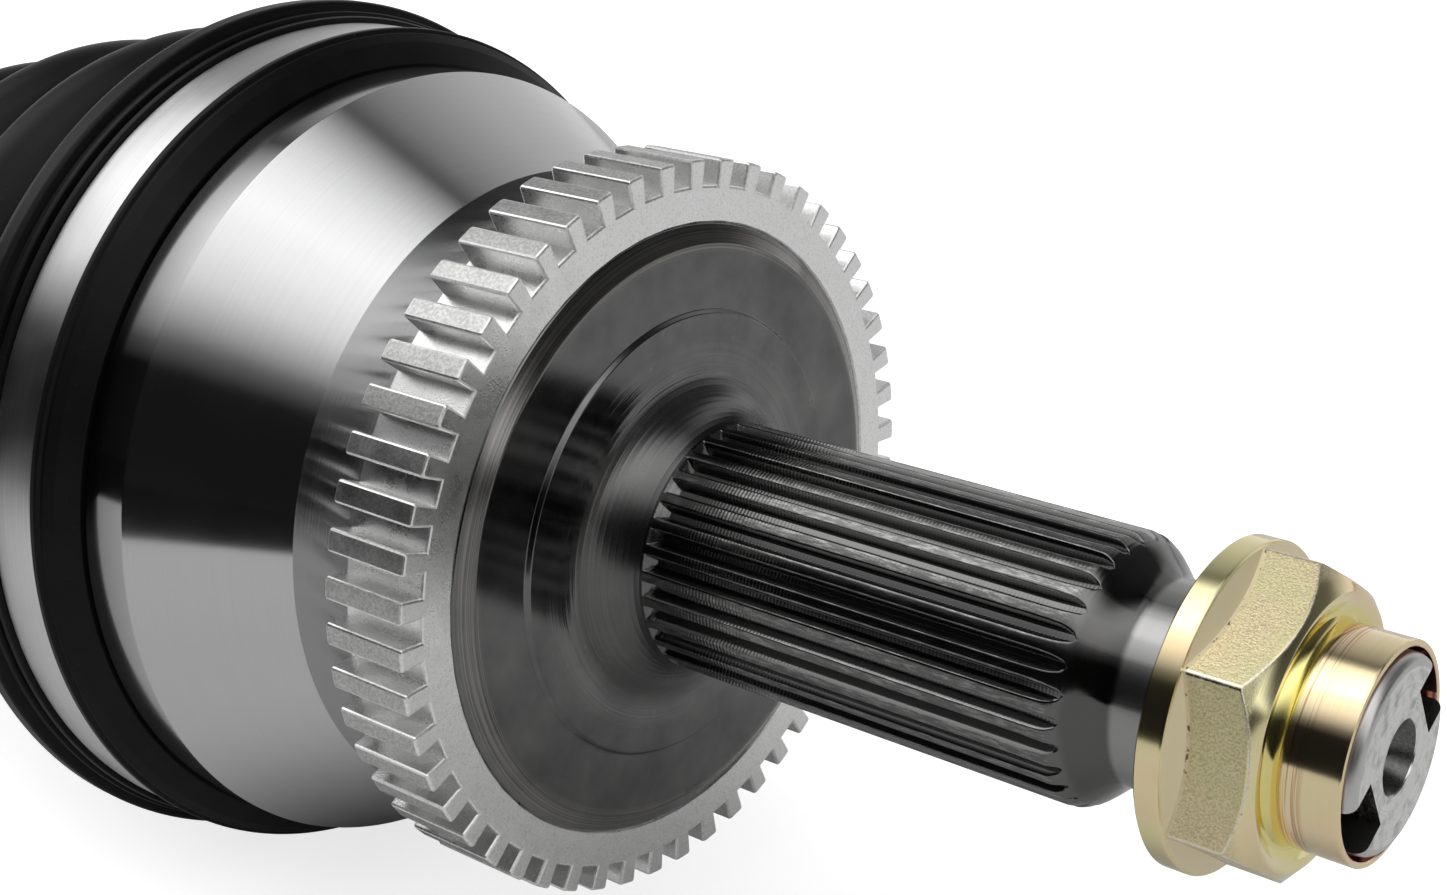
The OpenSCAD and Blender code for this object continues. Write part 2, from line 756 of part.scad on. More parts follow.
// Loose needles between trunnion number i and its roller.
module needles(i) {
    needle_len = roller_h - 1;
    color("gainsboro")
        rotate([lobe_angles[i - 1], 0, 0])
            translate([inner_x, 0, roller_seat - needle_len / 2])
                for (k = [0 : needle_count - 1])
                    rotate([0, 0, k * 360 / needle_count])
                        translate([trunnion_r + needle_play + needle_r, 0, 0])
                            cylinder(h = needle_len, r = needle_r, $fn = 24);
}

module roller_retainers() {
    color("silver")
        for (a = lobe_angles)
            rotate([a, 0, 0])
                translate([inner_x, 0, retainer_seat])
                    difference() {
                        cylinder(h = retainer_t, r = roller_bore_r + 1.6);
                        translate([0, 0, -over])
                            cylinder(h = retainer_t + 2 * over, r = trunnion_r);
                    }
}

module roller_clips() {
    color("darkslategray")
        for (a = lobe_angles)
            rotate([a, 0, 0])
                translate([inner_x, 0, clip_seat])
                    difference() {
                        cylinder(h = clip_t, r = trunnion_r + 1.2);
                        translate([0, 0, -over])
                            cylinder(h = clip_t + 2 * over, r = trunnion_r - clip_groove);
                        translate([0, -1.5, -over])
                            cube([trunnion_r + 3, 3, clip_t + 2 * over]);
                    }
}

module inner_boot() {
    folds = [for (i = [0 : len(inner_fold_r) - 1])
        each fold_points(first_inner_x + i * inner_fold_pitch, inner_fold_r[i],
            inner_fold_depth, inner_fold_pitch, 1)];
    cuff_r = small_cuff_r + clamp_t;
    small_start = inner_small_x - small_cuff_len;
    seat0 = inner_small_x - (small_cuff_len - small_clamp_w) / 2;
    large_r = inner_cuff_r + clamp_t;
    cuff_in_r = tulip_r + fit_gap;
    half = large_clamp_w / 2;
    color([0.06, 0.06, 0.06])
        turned()
            polygon(concat(
                [[cuff_in_r, tulip_mouth_x - boot_band], [large_r, tulip_mouth_x - boot_band],
                    [large_r, inner_clamp_x - half - 0.3],
                    [inner_cuff_r, inner_clamp_x - half - 0.3],
                    [inner_cuff_r, inner_clamp_x + half + 0.3],
                    [large_r, inner_clamp_x + half + 0.3], [large_r, tulip_mouth_x]],
                folds,
                [[cuff_r + 1.5, small_start - 3], [cuff_r, small_start],
                    [cuff_r, seat0 - small_clamp_w], [small_cuff_r, seat0 - small_clamp_w],
                    [small_cuff_r, seat0], [cuff_r, seat0], [cuff_r, inner_small_x],
                    [cuff_seat_r + fit_gap, inner_small_x], [cuff_seat_r + fit_gap, small_start - 1]],
                inside_of(folds, boot_wall),
                [[cuff_in_r - 3, tulip_mouth_x + fit_gap], [cuff_in_r, tulip_mouth_x + fit_gap]]));
}

module inner_boot_large_clamp() {
    color("gainsboro")
        clamp_band(inner_clamp_x + large_clamp_w / 2, large_clamp_w, inner_cuff_r + fit_gap);
}

module inner_boot_small_clamp() {
    color("gainsboro")
        clamp_band(inner_small_x - (small_cuff_len - small_clamp_w) / 2, small_clamp_w,
            small_cuff_r + fit_gap);
}

// One track of the tripod housing, a slot whose back follows the track radius.
module tulip_track() {
    half = roller_r + roller_play;
    intersection() {
        circle(track_r);
        translate([0, -half])
            square([track_r + over, 2 * half]);
    }
}

module tripod_housing() {
    flare_top = ring_groove_r - 3;
    color("black")
        difference() {
            turned()
                polygon([[0, tulip_mouth_x], [tulip_r - 1, tulip_mouth_x], [tulip_r, tulip_mouth_x - 1],
                    [tulip_r, tulip_end_x + 6], [tulip_r - 7, tulip_end_x],
                    [journal_r + 5, tulip_end_x - 1], [journal_r + 1, journal_x + 2],
                    [journal_r, journal_x], [journal_r, journal_end_x + 1],
                    [journal_r - 1, journal_end_x], [inner_spline_r + 1.5, journal_end_x - 1],
                    [inner_spline_r - 0.6, inner_neck_x + 4], [inner_spline_r - 0.6, inner_neck_x + 1],
                    [inner_spline_r, inner_neck_x], [inner_spline_r, wire_x + wire_r],
                    [wire_groove_r, wire_x + wire_r], [wire_groove_r, wire_x - wire_r],
                    [inner_spline_r, wire_x - wire_r], [inner_spline_r, gear_end_x + 2],
                    [inner_spline_r - 2, gear_end_x], [0, gear_end_x]]);
            translate([tulip_floor_x, 0, 0])
                rotate([90, 0, 90])
                    linear_extrude(height = tulip_mouth + tulip_floor + over) {
                        circle(core_r);
                        for (a = lobe_angles)
                            rotate(a + 90)
                                tulip_track();
                    }
            turned()
                polygon([[0, tulip_mouth_x - mouth_flare_len], [core_r, tulip_mouth_x - mouth_flare_len],
                    [flare_top, tulip_mouth_x - 6], [flare_top, tulip_mouth_x + over],
                    [0, tulip_mouth_x + over]]);
            ring(ring_groove_x, ring_groove_w, flare_top - over, ring_groove_r);
            for (a = lobe_angles)
                rotate([a + 180, 0, 0])
                    translate([0, 0, tulip_r - scallop_depth + scallop_r])
                        rod(tulip_end_x - over, tulip_mouth + tulip_floor + tulip_end - boot_band,
                            scallop_r);
            for (i = [0 : inner_teeth - 1])
                rotate([(i + 0.5) * 360 / inner_teeth, 0, 0])
                    spline_groove(inner_spline_r, inner_tooth_h, inner_teeth, gear_end_x - 10,
                        inner_neck_x, over, cutter_r);
        }
}

module housing_ring() {
    color("darkslategray")
        split_ring(ring_groove_x + 0.1, ring_groove_w - 0.2, track_r - 2.6, ring_groove_r - 0.1, 8);
}

module stub_circlip() {
    color("darkslategray")
        split_ring(wire_x - wire_r, 2 * wire_r, wire_groove_r, inner_spline_r + 0.5, 4);
}

outer_housing();
tone_ring();
hub_nut();
inner_race();
ball_cage();
ball(1);  // ball_1
ball(2);  // ball_2
ball(3);  // ball_3
ball(4);  // ball_4
ball(5);  // ball_5
ball(6);  // ball_6
race_circlip();
race_stop_ring();
outer_boot();
outer_boot_large_clamp();
outer_boot_small_clamp();
axle_bar();
spider();
spider_circlip();
roller(1);  // roller_1
roller(2);  // roller_2
roller(3);  // roller_3
needles(1);  // needles_1
needles(2);  // needles_2
needles(3);  // needles_3
roller_retainers();
roller_clips();
inner_boot();
inner_boot_large_clamp();
inner_boot_small_clamp();
tripod_housing();
housing_ring();
stub_circlip();
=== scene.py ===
import math

import bmesh
import bpy
import numpy as np
from mathutils import Matrix, Vector


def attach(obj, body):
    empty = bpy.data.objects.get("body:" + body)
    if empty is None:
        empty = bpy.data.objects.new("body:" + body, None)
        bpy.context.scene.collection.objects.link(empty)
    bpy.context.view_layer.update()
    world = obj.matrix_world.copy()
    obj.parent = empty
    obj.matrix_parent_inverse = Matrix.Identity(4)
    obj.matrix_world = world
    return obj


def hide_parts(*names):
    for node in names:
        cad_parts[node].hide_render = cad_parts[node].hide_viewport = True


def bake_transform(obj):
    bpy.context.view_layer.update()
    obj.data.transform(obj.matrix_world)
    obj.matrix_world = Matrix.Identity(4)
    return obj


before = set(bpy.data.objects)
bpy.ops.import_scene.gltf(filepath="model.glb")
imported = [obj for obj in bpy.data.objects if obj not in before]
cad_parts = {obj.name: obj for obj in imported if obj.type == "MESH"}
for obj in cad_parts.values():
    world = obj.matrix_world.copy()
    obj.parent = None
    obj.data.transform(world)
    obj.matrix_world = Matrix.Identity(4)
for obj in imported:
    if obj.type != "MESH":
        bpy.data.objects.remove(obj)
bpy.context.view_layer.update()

MM = 0.001
TURN = 2 * math.pi

# Stations along the axle, in millimetres, with the hub seat at 0 and the nut towards +X
ring_front_x = -1.8
ring_back_x = -14.6
cone_front_x = -25.7
cone_back_x = -45.1
boot_face_x = -52.6
clamp_front_x = -57.3
clamp_w = 8.4
rib_x = -70.8
mouth_x = -73.0
first_fold_x = -93.0
fold_pitch = 20.6
small_cuff_x = -187.4
small_cuff_len = 14.0
small_clamp_w = 7.0
root_fillet = 7.0
groove_start_x = 6.3
groove_ramp = 1.1
spline_end_x = 67.5
slope_x = 62.2
slope_len = 6.4
shoulder_x = 74.7
stub_end_x = 95.8
nut_x = 75.0
hex_x = 78.3
flange_rise = 0.55
hex_end_x = 87.3
collar_end_x = 94.8
tulip_mouth_x = -421.0
journal_start_x = -524.5
journal_end_x = -545.5
stub_tip_x = -590.0
outer_flex = (-76.0, -187.0)
neck_flex = (-358.0, -398.5)
tulip_flex = (-398.5, -430.0)

# Stations and radii inside the bell between its cavity and its outside
cavity_end_x = -16.0
cavity_narrow_x = -33.0
cavity_wide_r = 48.5
cavity_narrow_r = 40.0

# Radii, in millimetres
bell_r = 53.6
boot_seat_r = 52.4
land_r = 43.2
ring_seat_r = 40.0
ring_root_r = 44.7
ring_tip_r = 48.0
boss_r = 29.2
boss_h = 0.6
stub_r = 16.0
neck_r = 12.0
thread_r = 11.0
centre_mouth_r = 4.1
centre_r = 2.0
centre_depth = 12.0
slot_floor_r = 6.1
stake_w = 7.3
stake_len = 12.0
bead_r = 58.3
rib_r = 60.7
large_seat_r = 57.2
clamp_t = 0.8
small_cuff_r = 18.0
cuff_seat_r = 14.3
flange_r = 18.7
collar_r = 12.3
hex_af = 32.0
hex_corner_r = hex_af / 2 / math.cos(math.radians(30))
hex_cone = hex_x + flange_rise * flange_r
fold_r = [54.6, 50.5, 45.0, 38.5, 31.0]
fold_depth = 8.5
boot_wall = 3.0
tulip_r = 45.0
inner_cuff_r = 47.4
inner_fold_r = [44.0, 39.0, 33.0, 27.0]
inner_fold_depth = 6.5
inner_fold_pitch = 13.5
inner_boot_wall = 2.4
bar_clearance = 2.5
boot_band = 22.0

ring_teeth = 52
slot_w = 2.9
ring_phase = 1.2
ring_edge = 0.32
spline_teeth = 30
spline_depth = 1.5
hob_r = 26.0
stub_phase = 1.2
hex_phase = -3.8
stake_phase = 121.3
ear_angle = 240.0

# Tangent of the tilt of the land's turned facets
land_facet = 1.28

# Dark flag of the world, by its share towards the nut and its turn in half circles, and the floor
flag_start = 0.20
flag_sweep = (0.54, 0.95)
flag_depth = 0.85
floor_white = 0.78
floor_glow = 0.76

# Camera, fitted to the photograph
photo_w = 1447
focal_px = 2263.9
sensor_mm = 36.0
aim_x = -1.8
camera_right = Vector((0.7742, 0.6330, 0.0))
camera_up = Vector((-0.2157, 0.2638, 0.9402))
camera_back = Vector((0.5951, -0.7279, 0.3408))
camera_offset = (6.043, 10.810, 290.578)
floor_z = -0.0612
table_edge_y = -0.335


def place(obj):
    """Puts an object in the scene."""
    bpy.context.scene.collection.objects.link(obj)
    return obj


def station_radius(point):
    """Station and radius of a point, in millimetres."""
    point = point / MM
    return point.x, math.hypot(point.y, point.z)


def round_corners(corners, steps=5):
    """Outline points with normals. A corner is (station, radius, rounding); 0 leaves it sharp."""
    points = []
    flat = [Vector(c[:2]) for c in corners]
    for i, corner in enumerate(corners):
        here = flat[i]
        before = (here - flat[i - 1]).normalized() if i > 0 else None
        after = (flat[i + 1] - here).normalized() if i < len(flat) - 1 else None
        rounding = corner[2] if len(corner) > 2 else 0.0
        if before is None or after is None:
            points.append((here, after if before is None else before))
        elif rounding <= 0:
            points.append((here, before))
            points.append((here, after))
        else:
            turn = math.acos(max(-1.0, min(1.0, before.dot(after))))
            reach = rounding * math.tan(turn / 2)
            room = min((here - flat[i - 1]).length, (flat[i + 1] - here).length)
            reach = min(reach, room * 0.49)
            start, end = here - before * reach, here + after * reach
            for k in range(steps + 1):
                t = k / steps
                point = start * (1 - t) ** 2 + here * 2 * t * (1 - t) + end * t * t
                points.append((point, (before * (1 - t) + after * t).normalized()))
    return [(p.x, p.y, t.y, -t.x) for p, t in points]


def around(x, radii, angles):
    """Points round the axle by angle from +Z. Station and radius are one value or one per angle."""
    stations = np.full(len(angles), x)
    return np.column_stack([stations, -radii * np.sin(angles), radii * np.cos(angles)])


def strip_faces(row, width):
    """Faces between one ring of points and the next."""
    a, b = row * width, (row + 1) * width
    return [(a + j, a + (j + 1) % width, b + (j + 1) % width, b + j) for j in range(width)]


def lathe(name, corners, segments=720, steps=5):
    """Turns an outline about the axle. It runs so that its left side is the outside."""
    points = round_corners(corners, steps)
    angles = np.arange(segments) * TURN / segments
    verts = [around(x, r, angles) * MM for x, r, _, _ in points]
    normals = [-around(nx, nr, angles) for _, _, nx, nr in points]
    faces = []
    for i, (here, after) in enumerate(zip(points, points[1:])):
        if abs(here[0] - after[0]) + abs(here[1] - after[1]) >= 1e-6:
            faces += strip_faces(i, segments)
    mesh = bpy.data.meshes.new(name)
    mesh.from_pydata(np.concatenate(verts).tolist(), [], faces)
    mesh.shade_smooth()
    mesh.normals_split_custom_set_from_vertices(np.concatenate(normals).tolist())
    return place(bpy.data.objects.new(name, mesh))


def skin(name, rows, sharp=32.0):
    """Mesh from rows of points in millimetres, each row a ring round the axle."""
    rows = np.asarray(rows, float)
    count, width = rows.shape[:2]
    faces = [face for i in range(count - 1) for face in strip_faces(i, width)]
    mesh = bpy.data.meshes.new(name)
    mesh.from_pydata((rows.reshape(-1, 3) * MM).tolist(), [], faces)
    mesh.shade_smooth()
    mesh.set_sharp_from_angle(angle=math.radians(sharp))
    return place(bpy.data.objects.new(name, mesh))


def join(name, *pieces):
    """Joins pieces into the first one."""
    with bpy.context.temp_override(active_object=pieces[0], selected_editable_objects=list(pieces)):
        bpy.ops.object.join()
    pieces[0].name = name
    return pieces[0]


# Bell and stub

def make_bell():
    """Outside of the bell, from its mouth to the start of the hub spline."""
    outside = [
        (mouth_x, boot_seat_r - 1.0, 0.0), (mouth_x, boot_seat_r, 1.0),
        (boot_face_x, boot_seat_r, 0.1), (boot_face_x, bell_r, 0.4),
        (cone_back_x, bell_r, 0.4), (cone_front_x, land_r, 0.25),
        (ring_back_x, land_r, 0.3), (ring_back_x, ring_seat_r, 0.05),
        (ring_front_x - 0.1, ring_seat_r, 0.5), (-boss_h, ring_seat_r - 2.5, 1.0),
        (-boss_h, boss_r + 0.1, 0.25), (0.0, boss_r - 0.35, 0.3), (0.0, stub_r + root_fillet, 0.3),
    ]
    fillet = [(root_fillet * (1 - math.cos(a)), stub_r + root_fillet * (1 - math.sin(a)), 0.5)
              for a in np.linspace(0.12, 1.42, 12)]
    return lathe("bell", outside + fillet)


def keep_inside(node, outer_r, name):
    """Copy of a node's faces that lie inside a radius, which is a function of the station."""
    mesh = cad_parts[node].data.copy()
    shape = bmesh.new()
    shape.from_mesh(mesh)
    outer = []
    for face in shape.faces:
        x, r = station_radius(face.calc_center_median())
        if r > outer_r(x):
            outer.append(face)
    bmesh.ops.delete(shape, geom=outer, context="FACES")
    shape.to_mesh(mesh)
    shape.free()
    return place(bpy.data.objects.new(name, mesh))


def bell_inside(x):
    """Radius under which the bell's faces belong to its cavity and mouth."""
    if x < mouth_x + 0.2:
        return boot_seat_r
    if x > cavity_end_x:
        return -1.0
    return cavity_wide_r if x < cavity_narrow_x else cavity_narrow_r


def stub_surface(x):
    """Radius from the fillet over the spline teeth, down the slope and along the neck."""
    if x < root_fillet:
        return stub_r + root_fillet - math.sqrt(root_fillet ** 2 - (root_fillet - x) ** 2)
    t = max(0.0, min(1.0, (x - slope_x) / slope_len))
    return neck_r + (stub_r - neck_r) * (1 + math.cos(math.pi * t)) / 2


def groove_section(x):
    """Half of a groove's section: (distance from the groove's middle, radius), floor first."""
    half_top = stub_r * math.sin(math.radians(90 / spline_teeth)) * 1.16
    half_floor = half_top * 0.34
    surface = stub_surface(x)
    share = max(0.0, min(1.0, (x - groove_start_x) / groove_ramp))
    if share < 1:
        depth = spline_depth * share
        low, top = half_floor + (half_top - half_floor) * (1 - share), half_top
    else:
        runout = math.sqrt(hob_r ** 2 - (hob_r - spline_depth) ** 2)
        along = max(0.0, x - (spline_end_x - runout))
        cut_r = stub_r - spline_depth + hob_r - math.sqrt(max(0.0, hob_r ** 2 - along ** 2))
        depth = max(0.0, surface - cut_r)
        low = half_floor * min(1.0, depth / 0.3) + 0.02
        top = low + (half_top - half_floor) * min(1.0, depth / spline_depth) + 0.01
    floor_r = surface - depth
    soft = min(1.0, depth / 0.5)
    pitch = math.pi * stub_r / spline_teeth
    flank_r = (surface + floor_r) / 2 + 0.05 * soft
    return [(0.0, floor_r), (low, floor_r), ((low + top) / 2, flank_r),
            (top - 0.03 * soft, surface - 0.15 * soft), (top + 0.04, surface - 0.06 * soft),
            (top + 0.14, surface - 0.012 * soft), (top + 0.28, surface), (pitch, surface)]


def make_stub():
    """Spline, slope and neck. Each groove keeps its edges on its own columns of points."""
    start = groove_start_x
    stations = ([start - 0.4, start] + list(np.linspace(start + 0.05, start + groove_ramp, 12))
                + list(np.linspace(start + 1.25, slope_x - 6.0, 50))
                + list(np.linspace(slope_x - 5.9, slope_x + 3.2, 60))
                + list(np.linspace(slope_x + 3.3, slope_x + slope_len, 16))
                + [slope_x + slope_len + 2.4, shoulder_x - 0.15])
    rows = []
    for x in stations:
        half = groove_section(x)
        section = [(-off, r) for off, r in half[:0:-1]] + half[:-1]
        offsets = np.array([off for off, _ in section]) / stub_r
        radii = np.array([r for _, r in section] * spline_teeth)
        middles = np.radians(stub_phase + (np.arange(spline_teeth) + 0.5) * 360 / spline_teeth)
        rows.append(around(x, radii, (middles[:, None] + offsets[None, :]).ravel()))
    angles = np.arctan2(-rows[0][:, 1], rows[0][:, 2])
    for x, r in [(shoulder_x, neck_r - 0.15), (shoulder_x, thread_r), (nut_x + 1.0, thread_r)]:
        rows.append(around(x, r, angles))
    return skin("hub_spline", rows, sharp=26.0)


def cut_slot(end, angle_deg):
    """Cuts one flat-bottomed staking slot into the end of the stub."""
    cut_height = 12.0
    mesh = bpy.data.meshes.new("slot")
    box = bmesh.new()
    bmesh.ops.create_cube(box, size=1.0)
    size = Matrix.Diagonal((stake_len * 2 * MM, stake_w * MM, cut_height * MM, 1))
    spot = Matrix.Translation((stub_end_x * MM, 0, (slot_floor_r + cut_height / 2) * MM))
    box.transform(Matrix.Rotation(math.radians(angle_deg), 4, "X") @ spot @ size)
    box.to_mesh(mesh)
    box.free()
    cutter = place(bpy.data.objects.new("slot", mesh))
    cut = end.modifiers.new("slot", "BOOLEAN")
    cut.operation = "DIFFERENCE"
    cut.object = cutter
    apply_modifiers(end)
    bpy.data.objects.remove(cutter)


def make_stub_end():
    """Threaded end with its rounded edge, lathe centre and two staking slots."""
    angles = np.linspace(0, TURN, 180, endpoint=False)
    edge = [(stub_end_x - 1.4 + 1.4 * math.sin(a), thread_r - 1.25 + 1.25 * math.cos(a))
            for a in np.linspace(0, math.pi / 2 - 0.25, 7)]
    sink = stub_end_x - (centre_mouth_r - centre_r) / math.tan(math.radians(30))
    profile = ([(nut_x, 0.0), (nut_x, thread_r)] + edge
               + [(stub_end_x, thread_r - 1.3), (stub_end_x, centre_mouth_r + 0.15),
                  (stub_end_x - 0.15, centre_mouth_r), (sink, centre_r),
                  (stub_end_x - centre_depth, centre_r), (stub_end_x - centre_depth - 1.0, 0.0)])
    end = skin("stub_end", [around(x, r, angles) for x, r in profile])
    shape = bmesh.new()
    shape.from_mesh(end.data)
    bmesh.ops.remove_doubles(shape, verts=shape.verts, dist=1e-7)
    shape.to_mesh(end.data)
    shape.free()
    for side in (0, 180):
        cut_slot(end, stake_phase + side)
    end.data.shade_smooth()
    end.data.set_sharp_from_angle(angle=math.radians(24))
    return end


# Tone ring

def ring_outline(inset, flat_r=None):
    """Points round the teeth, drawn in by an inset, or the same points brought to one radius."""
    half = slot_w / 2 + inset
    root, tip = ring_root_r - inset, ring_tip_r - inset
    side = [(half + ring_edge, tip), (half + ring_edge * 0.3, tip - ring_edge * 0.3),
            (half, tip - ring_edge), (half, root)]
    if flat_r:
        side = [(off, flat_r) for off, _ in side]
        tip = flat_r
    outline = []
    for tooth in range(ring_teeth):
        middle = math.radians(ring_phase + (tooth + 0.5) * 360 / ring_teeth)
        outline += [(middle - math.asin(off / r), r) for off, r in side]
        outline += [(middle + math.asin(off / r), r) for off, r in side[::-1]]
        outline.append((middle + math.radians(180 / ring_teeth), tip))
    return np.array([r for _, r in outline]), np.array([a for a, _ in outline])


def make_tone_ring(faces, edges):
    """Toothed ring with rounded, rubbed edges round its teeth, along them and across their ends,
    the edges painted brighter as a highlight.
    """
    rounding = [(ring_edge, 0.0), (ring_edge * 0.3, ring_edge * 0.3), (0.0, ring_edge)]
    bore = ring_outline(ring_edge, ring_seat_r + 0.02)
    mouth = ring_outline(ring_edge, ring_seat_r + 0.27)
    rows = [around(ring_front_x, *mouth)]
    rows += [around(ring_front_x - back, *ring_outline(inset)) for inset, back in rounding]
    rows += [around(ring_back_x + back, *ring_outline(inset)) for inset, back in rounding[::-1]]
    rows += [around(ring_back_x, *mouth), around(ring_back_x + 0.25, *bore),
             around(ring_front_x - 0.25, *bore), around(ring_front_x, *mouth)]
    ring = paint(skin("sensor_ring", rows, sharp=12.0), faces, edges)
    count = len(bore[0])
    for face in ring.data.polygons:
        row, column = divmod(face.index, count)
        if row in (1, 2, 4, 5) or (row == 3 and column % 9 in (0, 1, 5, 6)):
            face.material_index = 1
    return ring


def apply_modifiers(obj):
    """Bakes an object's modifiers into its mesh."""
    graph = bpy.context.evaluated_depsgraph_get()
    baked = bpy.data.meshes.new_from_object(obj.evaluated_get(graph))
    obj.modifiers.clear()
    obj.data = baked


# Hub nut

def hex_radius(angle):
    """Radius of the hexagon at an angle, with its corners just taken off."""
    off = (math.degrees(angle) - hex_phase) % 60 - 30
    return min(hex_af / 2 / math.cos(math.radians(off)), hex_corner_r - 0.1)


def make_nut(plating, rubbed):
    """Flange, hexagon between its two cones, grooved neck and staking collar."""
    count = 720
    angles = np.linspace(0, TURN, count, endpoint=False) + math.radians(hex_phase)
    hexagon = np.array([hex_radius(a) for a in angles])
    rim = flange_r - 0.25
    foot = np.minimum(hexagon, rim)
    low = hex_x - 0.05 + (rim - foot) * flange_rise
    high = hex_end_x - 0.25 - (hexagon - hex_af / 2 + 0.35) * 0.82
    flange = [(nut_x, thread_r + 0.1), (nut_x, flange_r - 0.75), (nut_x + 0.15, flange_r - 0.35),
              (nut_x + 0.45, flange_r), (nut_x + 0.6, flange_r), (hex_x - 0.42, flange_r),
              (hex_x - 0.28, flange_r), (hex_x - 0.12, flange_r - 0.08), (hex_x - 0.05, rim),
              (hex_x + 0.03, rim - 0.08 / flange_rise)]
    flats = [(low - 0.12, foot + 0.12), (low, foot), (low + 0.09, hexagon - 0.02),
             (low + 0.2, hexagon), (low + 0.4, hexagon), (high - 0.35, hexagon)]
    chamfer = [(high - 0.15, hexagon), (high, hexagon - 0.05), (high + 0.1, hexagon - 0.18),
               (high + 0.2, hexagon - 0.3)]
    groove = [(-0.1, hex_af / 2 - 0.55), (-0.02, hex_af / 2 - 0.7), (0.02, 15.0), (-0.02, 14.75),
              (-0.35, 14.2), (-0.75, 13.6), (-0.95, 13.1), (-0.85, 12.6), (-0.45, 12.2),
              (0.1, 12.0), (0.6, 12.0), (0.75, 12.2), (0.85, collar_r), (1.0, collar_r)]
    collar = [(0.4, 0.0), (0.25, 0.0), (0.08, 0.08), (0.0, 0.28), (0.0, 0.6), (0.12, 0.75),
              (0.3, 0.8), (2.4, 0.85)]
    outline = (flange + flats + chamfer + [(hex_end_x + off, r) for off, r in groove]
               + [(collar_end_x - back, collar_r - drop) for back, drop in collar]
               + [(collar_end_x - 3.0, thread_r + 0.1)])
    rows = [around(x, r, angles) for x, r in outline]
    nut = paint(skin("flanged_nut", rows, sharp=28.0), plating, rubbed)
    worn = len(flange + flats)
    for face in nut.data.polygons:
        x, r = station_radius(face.center)
        corner = r > hex_corner_r - 0.16 and hex_x + 0.4 < x < hex_end_x
        if corner or face.index // count in (worn, worn + 1):
            face.material_index = 1
    return nut


# Boots and clamps

def fold_corners(x, crest, depth, pitch, way):
    """Corners of one boot fold with its crest at x, on a boot that shrinks towards way."""
    shape = [(-0.46, 1.0, 3.0), (-0.26, 0.3, 7.0), (-0.06, 0.0, 5.0), (0.1, 0.0, 5.0),
             (0.26, 0.35, 7.0)]
    return [(x + way * pitch * along, crest - depth * down, rounding)
            for along, down, rounding in shape]


def inner_wall(corners, wall):
    """The same corners drawn in by the wall, in the opposite order."""
    return [(x, r - wall, rounding) for x, r, rounding in corners[::-1]]


def cuff_corners(start_x, way, rise, roundings):
    """Corners of a small cuff with its clamp seat, running towards way and back along its bore."""
    cuff_r = small_cuff_r + clamp_t
    end_x = start_x + way * small_cuff_len
    seat_x = start_x + way * (small_cuff_len - small_clamp_w) / 2
    seat_end_x = seat_x + way * small_clamp_w
    return [(start_x - way * 2.0, cuff_r + rise, roundings[0]), (start_x, cuff_r, roundings[1]),
            (seat_x, cuff_r, 0.3), (seat_x, small_cuff_r, 0.2), (seat_end_x, small_cuff_r, 0.2),
            (seat_end_x, cuff_r, 0.3), (end_x, cuff_r, 0.5), (end_x, cuff_seat_r, 0.3),
            (start_x, cuff_seat_r, 0.5)]


def make_outer_boot():
    """Outer boot: beaded lip, clamp seat, ridges and rib, five folds and the small cuff."""
    clamp_end_x = clamp_front_x - clamp_w
    front = [
        (boot_face_x - 0.5, boot_seat_r + 0.35, 0.2), (boot_face_x - 0.35, bell_r + 0.35, 0.5),
        (boot_face_x - 2.0, bead_r - 1.7, 2.2), (boot_face_x - 2.95, bead_r - 0.55, 0.3),
        (boot_face_x - 3.15, bead_r - 0.85, 0.15), (boot_face_x - 3.4, bead_r - 0.65, 0.15),
        (boot_face_x - 3.65, bead_r, 0.45), (clamp_front_x - 0.02, bead_r, 0.3),
        (clamp_front_x - 0.05, large_seat_r - 0.3, 0.1),
        (clamp_end_x + 0.05, large_seat_r - 0.3, 0.1), (clamp_end_x, 58.7, 0.35),
        (clamp_end_x - 0.9, 58.9, 0.3), (clamp_end_x - 1.1, 58.2, 0.2),
        (clamp_end_x - 1.6, 58.2, 0.2), (clamp_end_x - 1.8, 59.3, 0.3),
        (clamp_end_x - 2.6, 59.4, 0.3), (clamp_end_x - 2.9, 58.9, 0.3),
        (rib_x + 1.9, 59.2, 0.4), (rib_x + 1.5, rib_r, 0.8),
        (rib_x - 1.5, rib_r, 2.4), (rib_x - 6.0, 56.7, 5.0),
        (first_fold_x + 11.0, fold_r[0] - fold_depth, 4.0),
    ]
    folds = []
    for i, crest in enumerate(fold_r):
        folds += fold_corners(first_fold_x - i * fold_pitch, crest, fold_depth, fold_pitch, -1)
    cuff = cuff_corners(small_cuff_x, -1, 3.0, (1.5, 1.0))
    back = [(rib_x - 6.0, 53.7, 1.0), (mouth_x - 0.4, boot_seat_r + 0.35, 0.3),
            (boot_face_x - 0.5, boot_seat_r + 0.35)]
    outline = front + folds + cuff + inner_wall(folds, boot_wall) + back
    return lathe("hub_side_boot", outline[::-1], segments=384, steps=6)


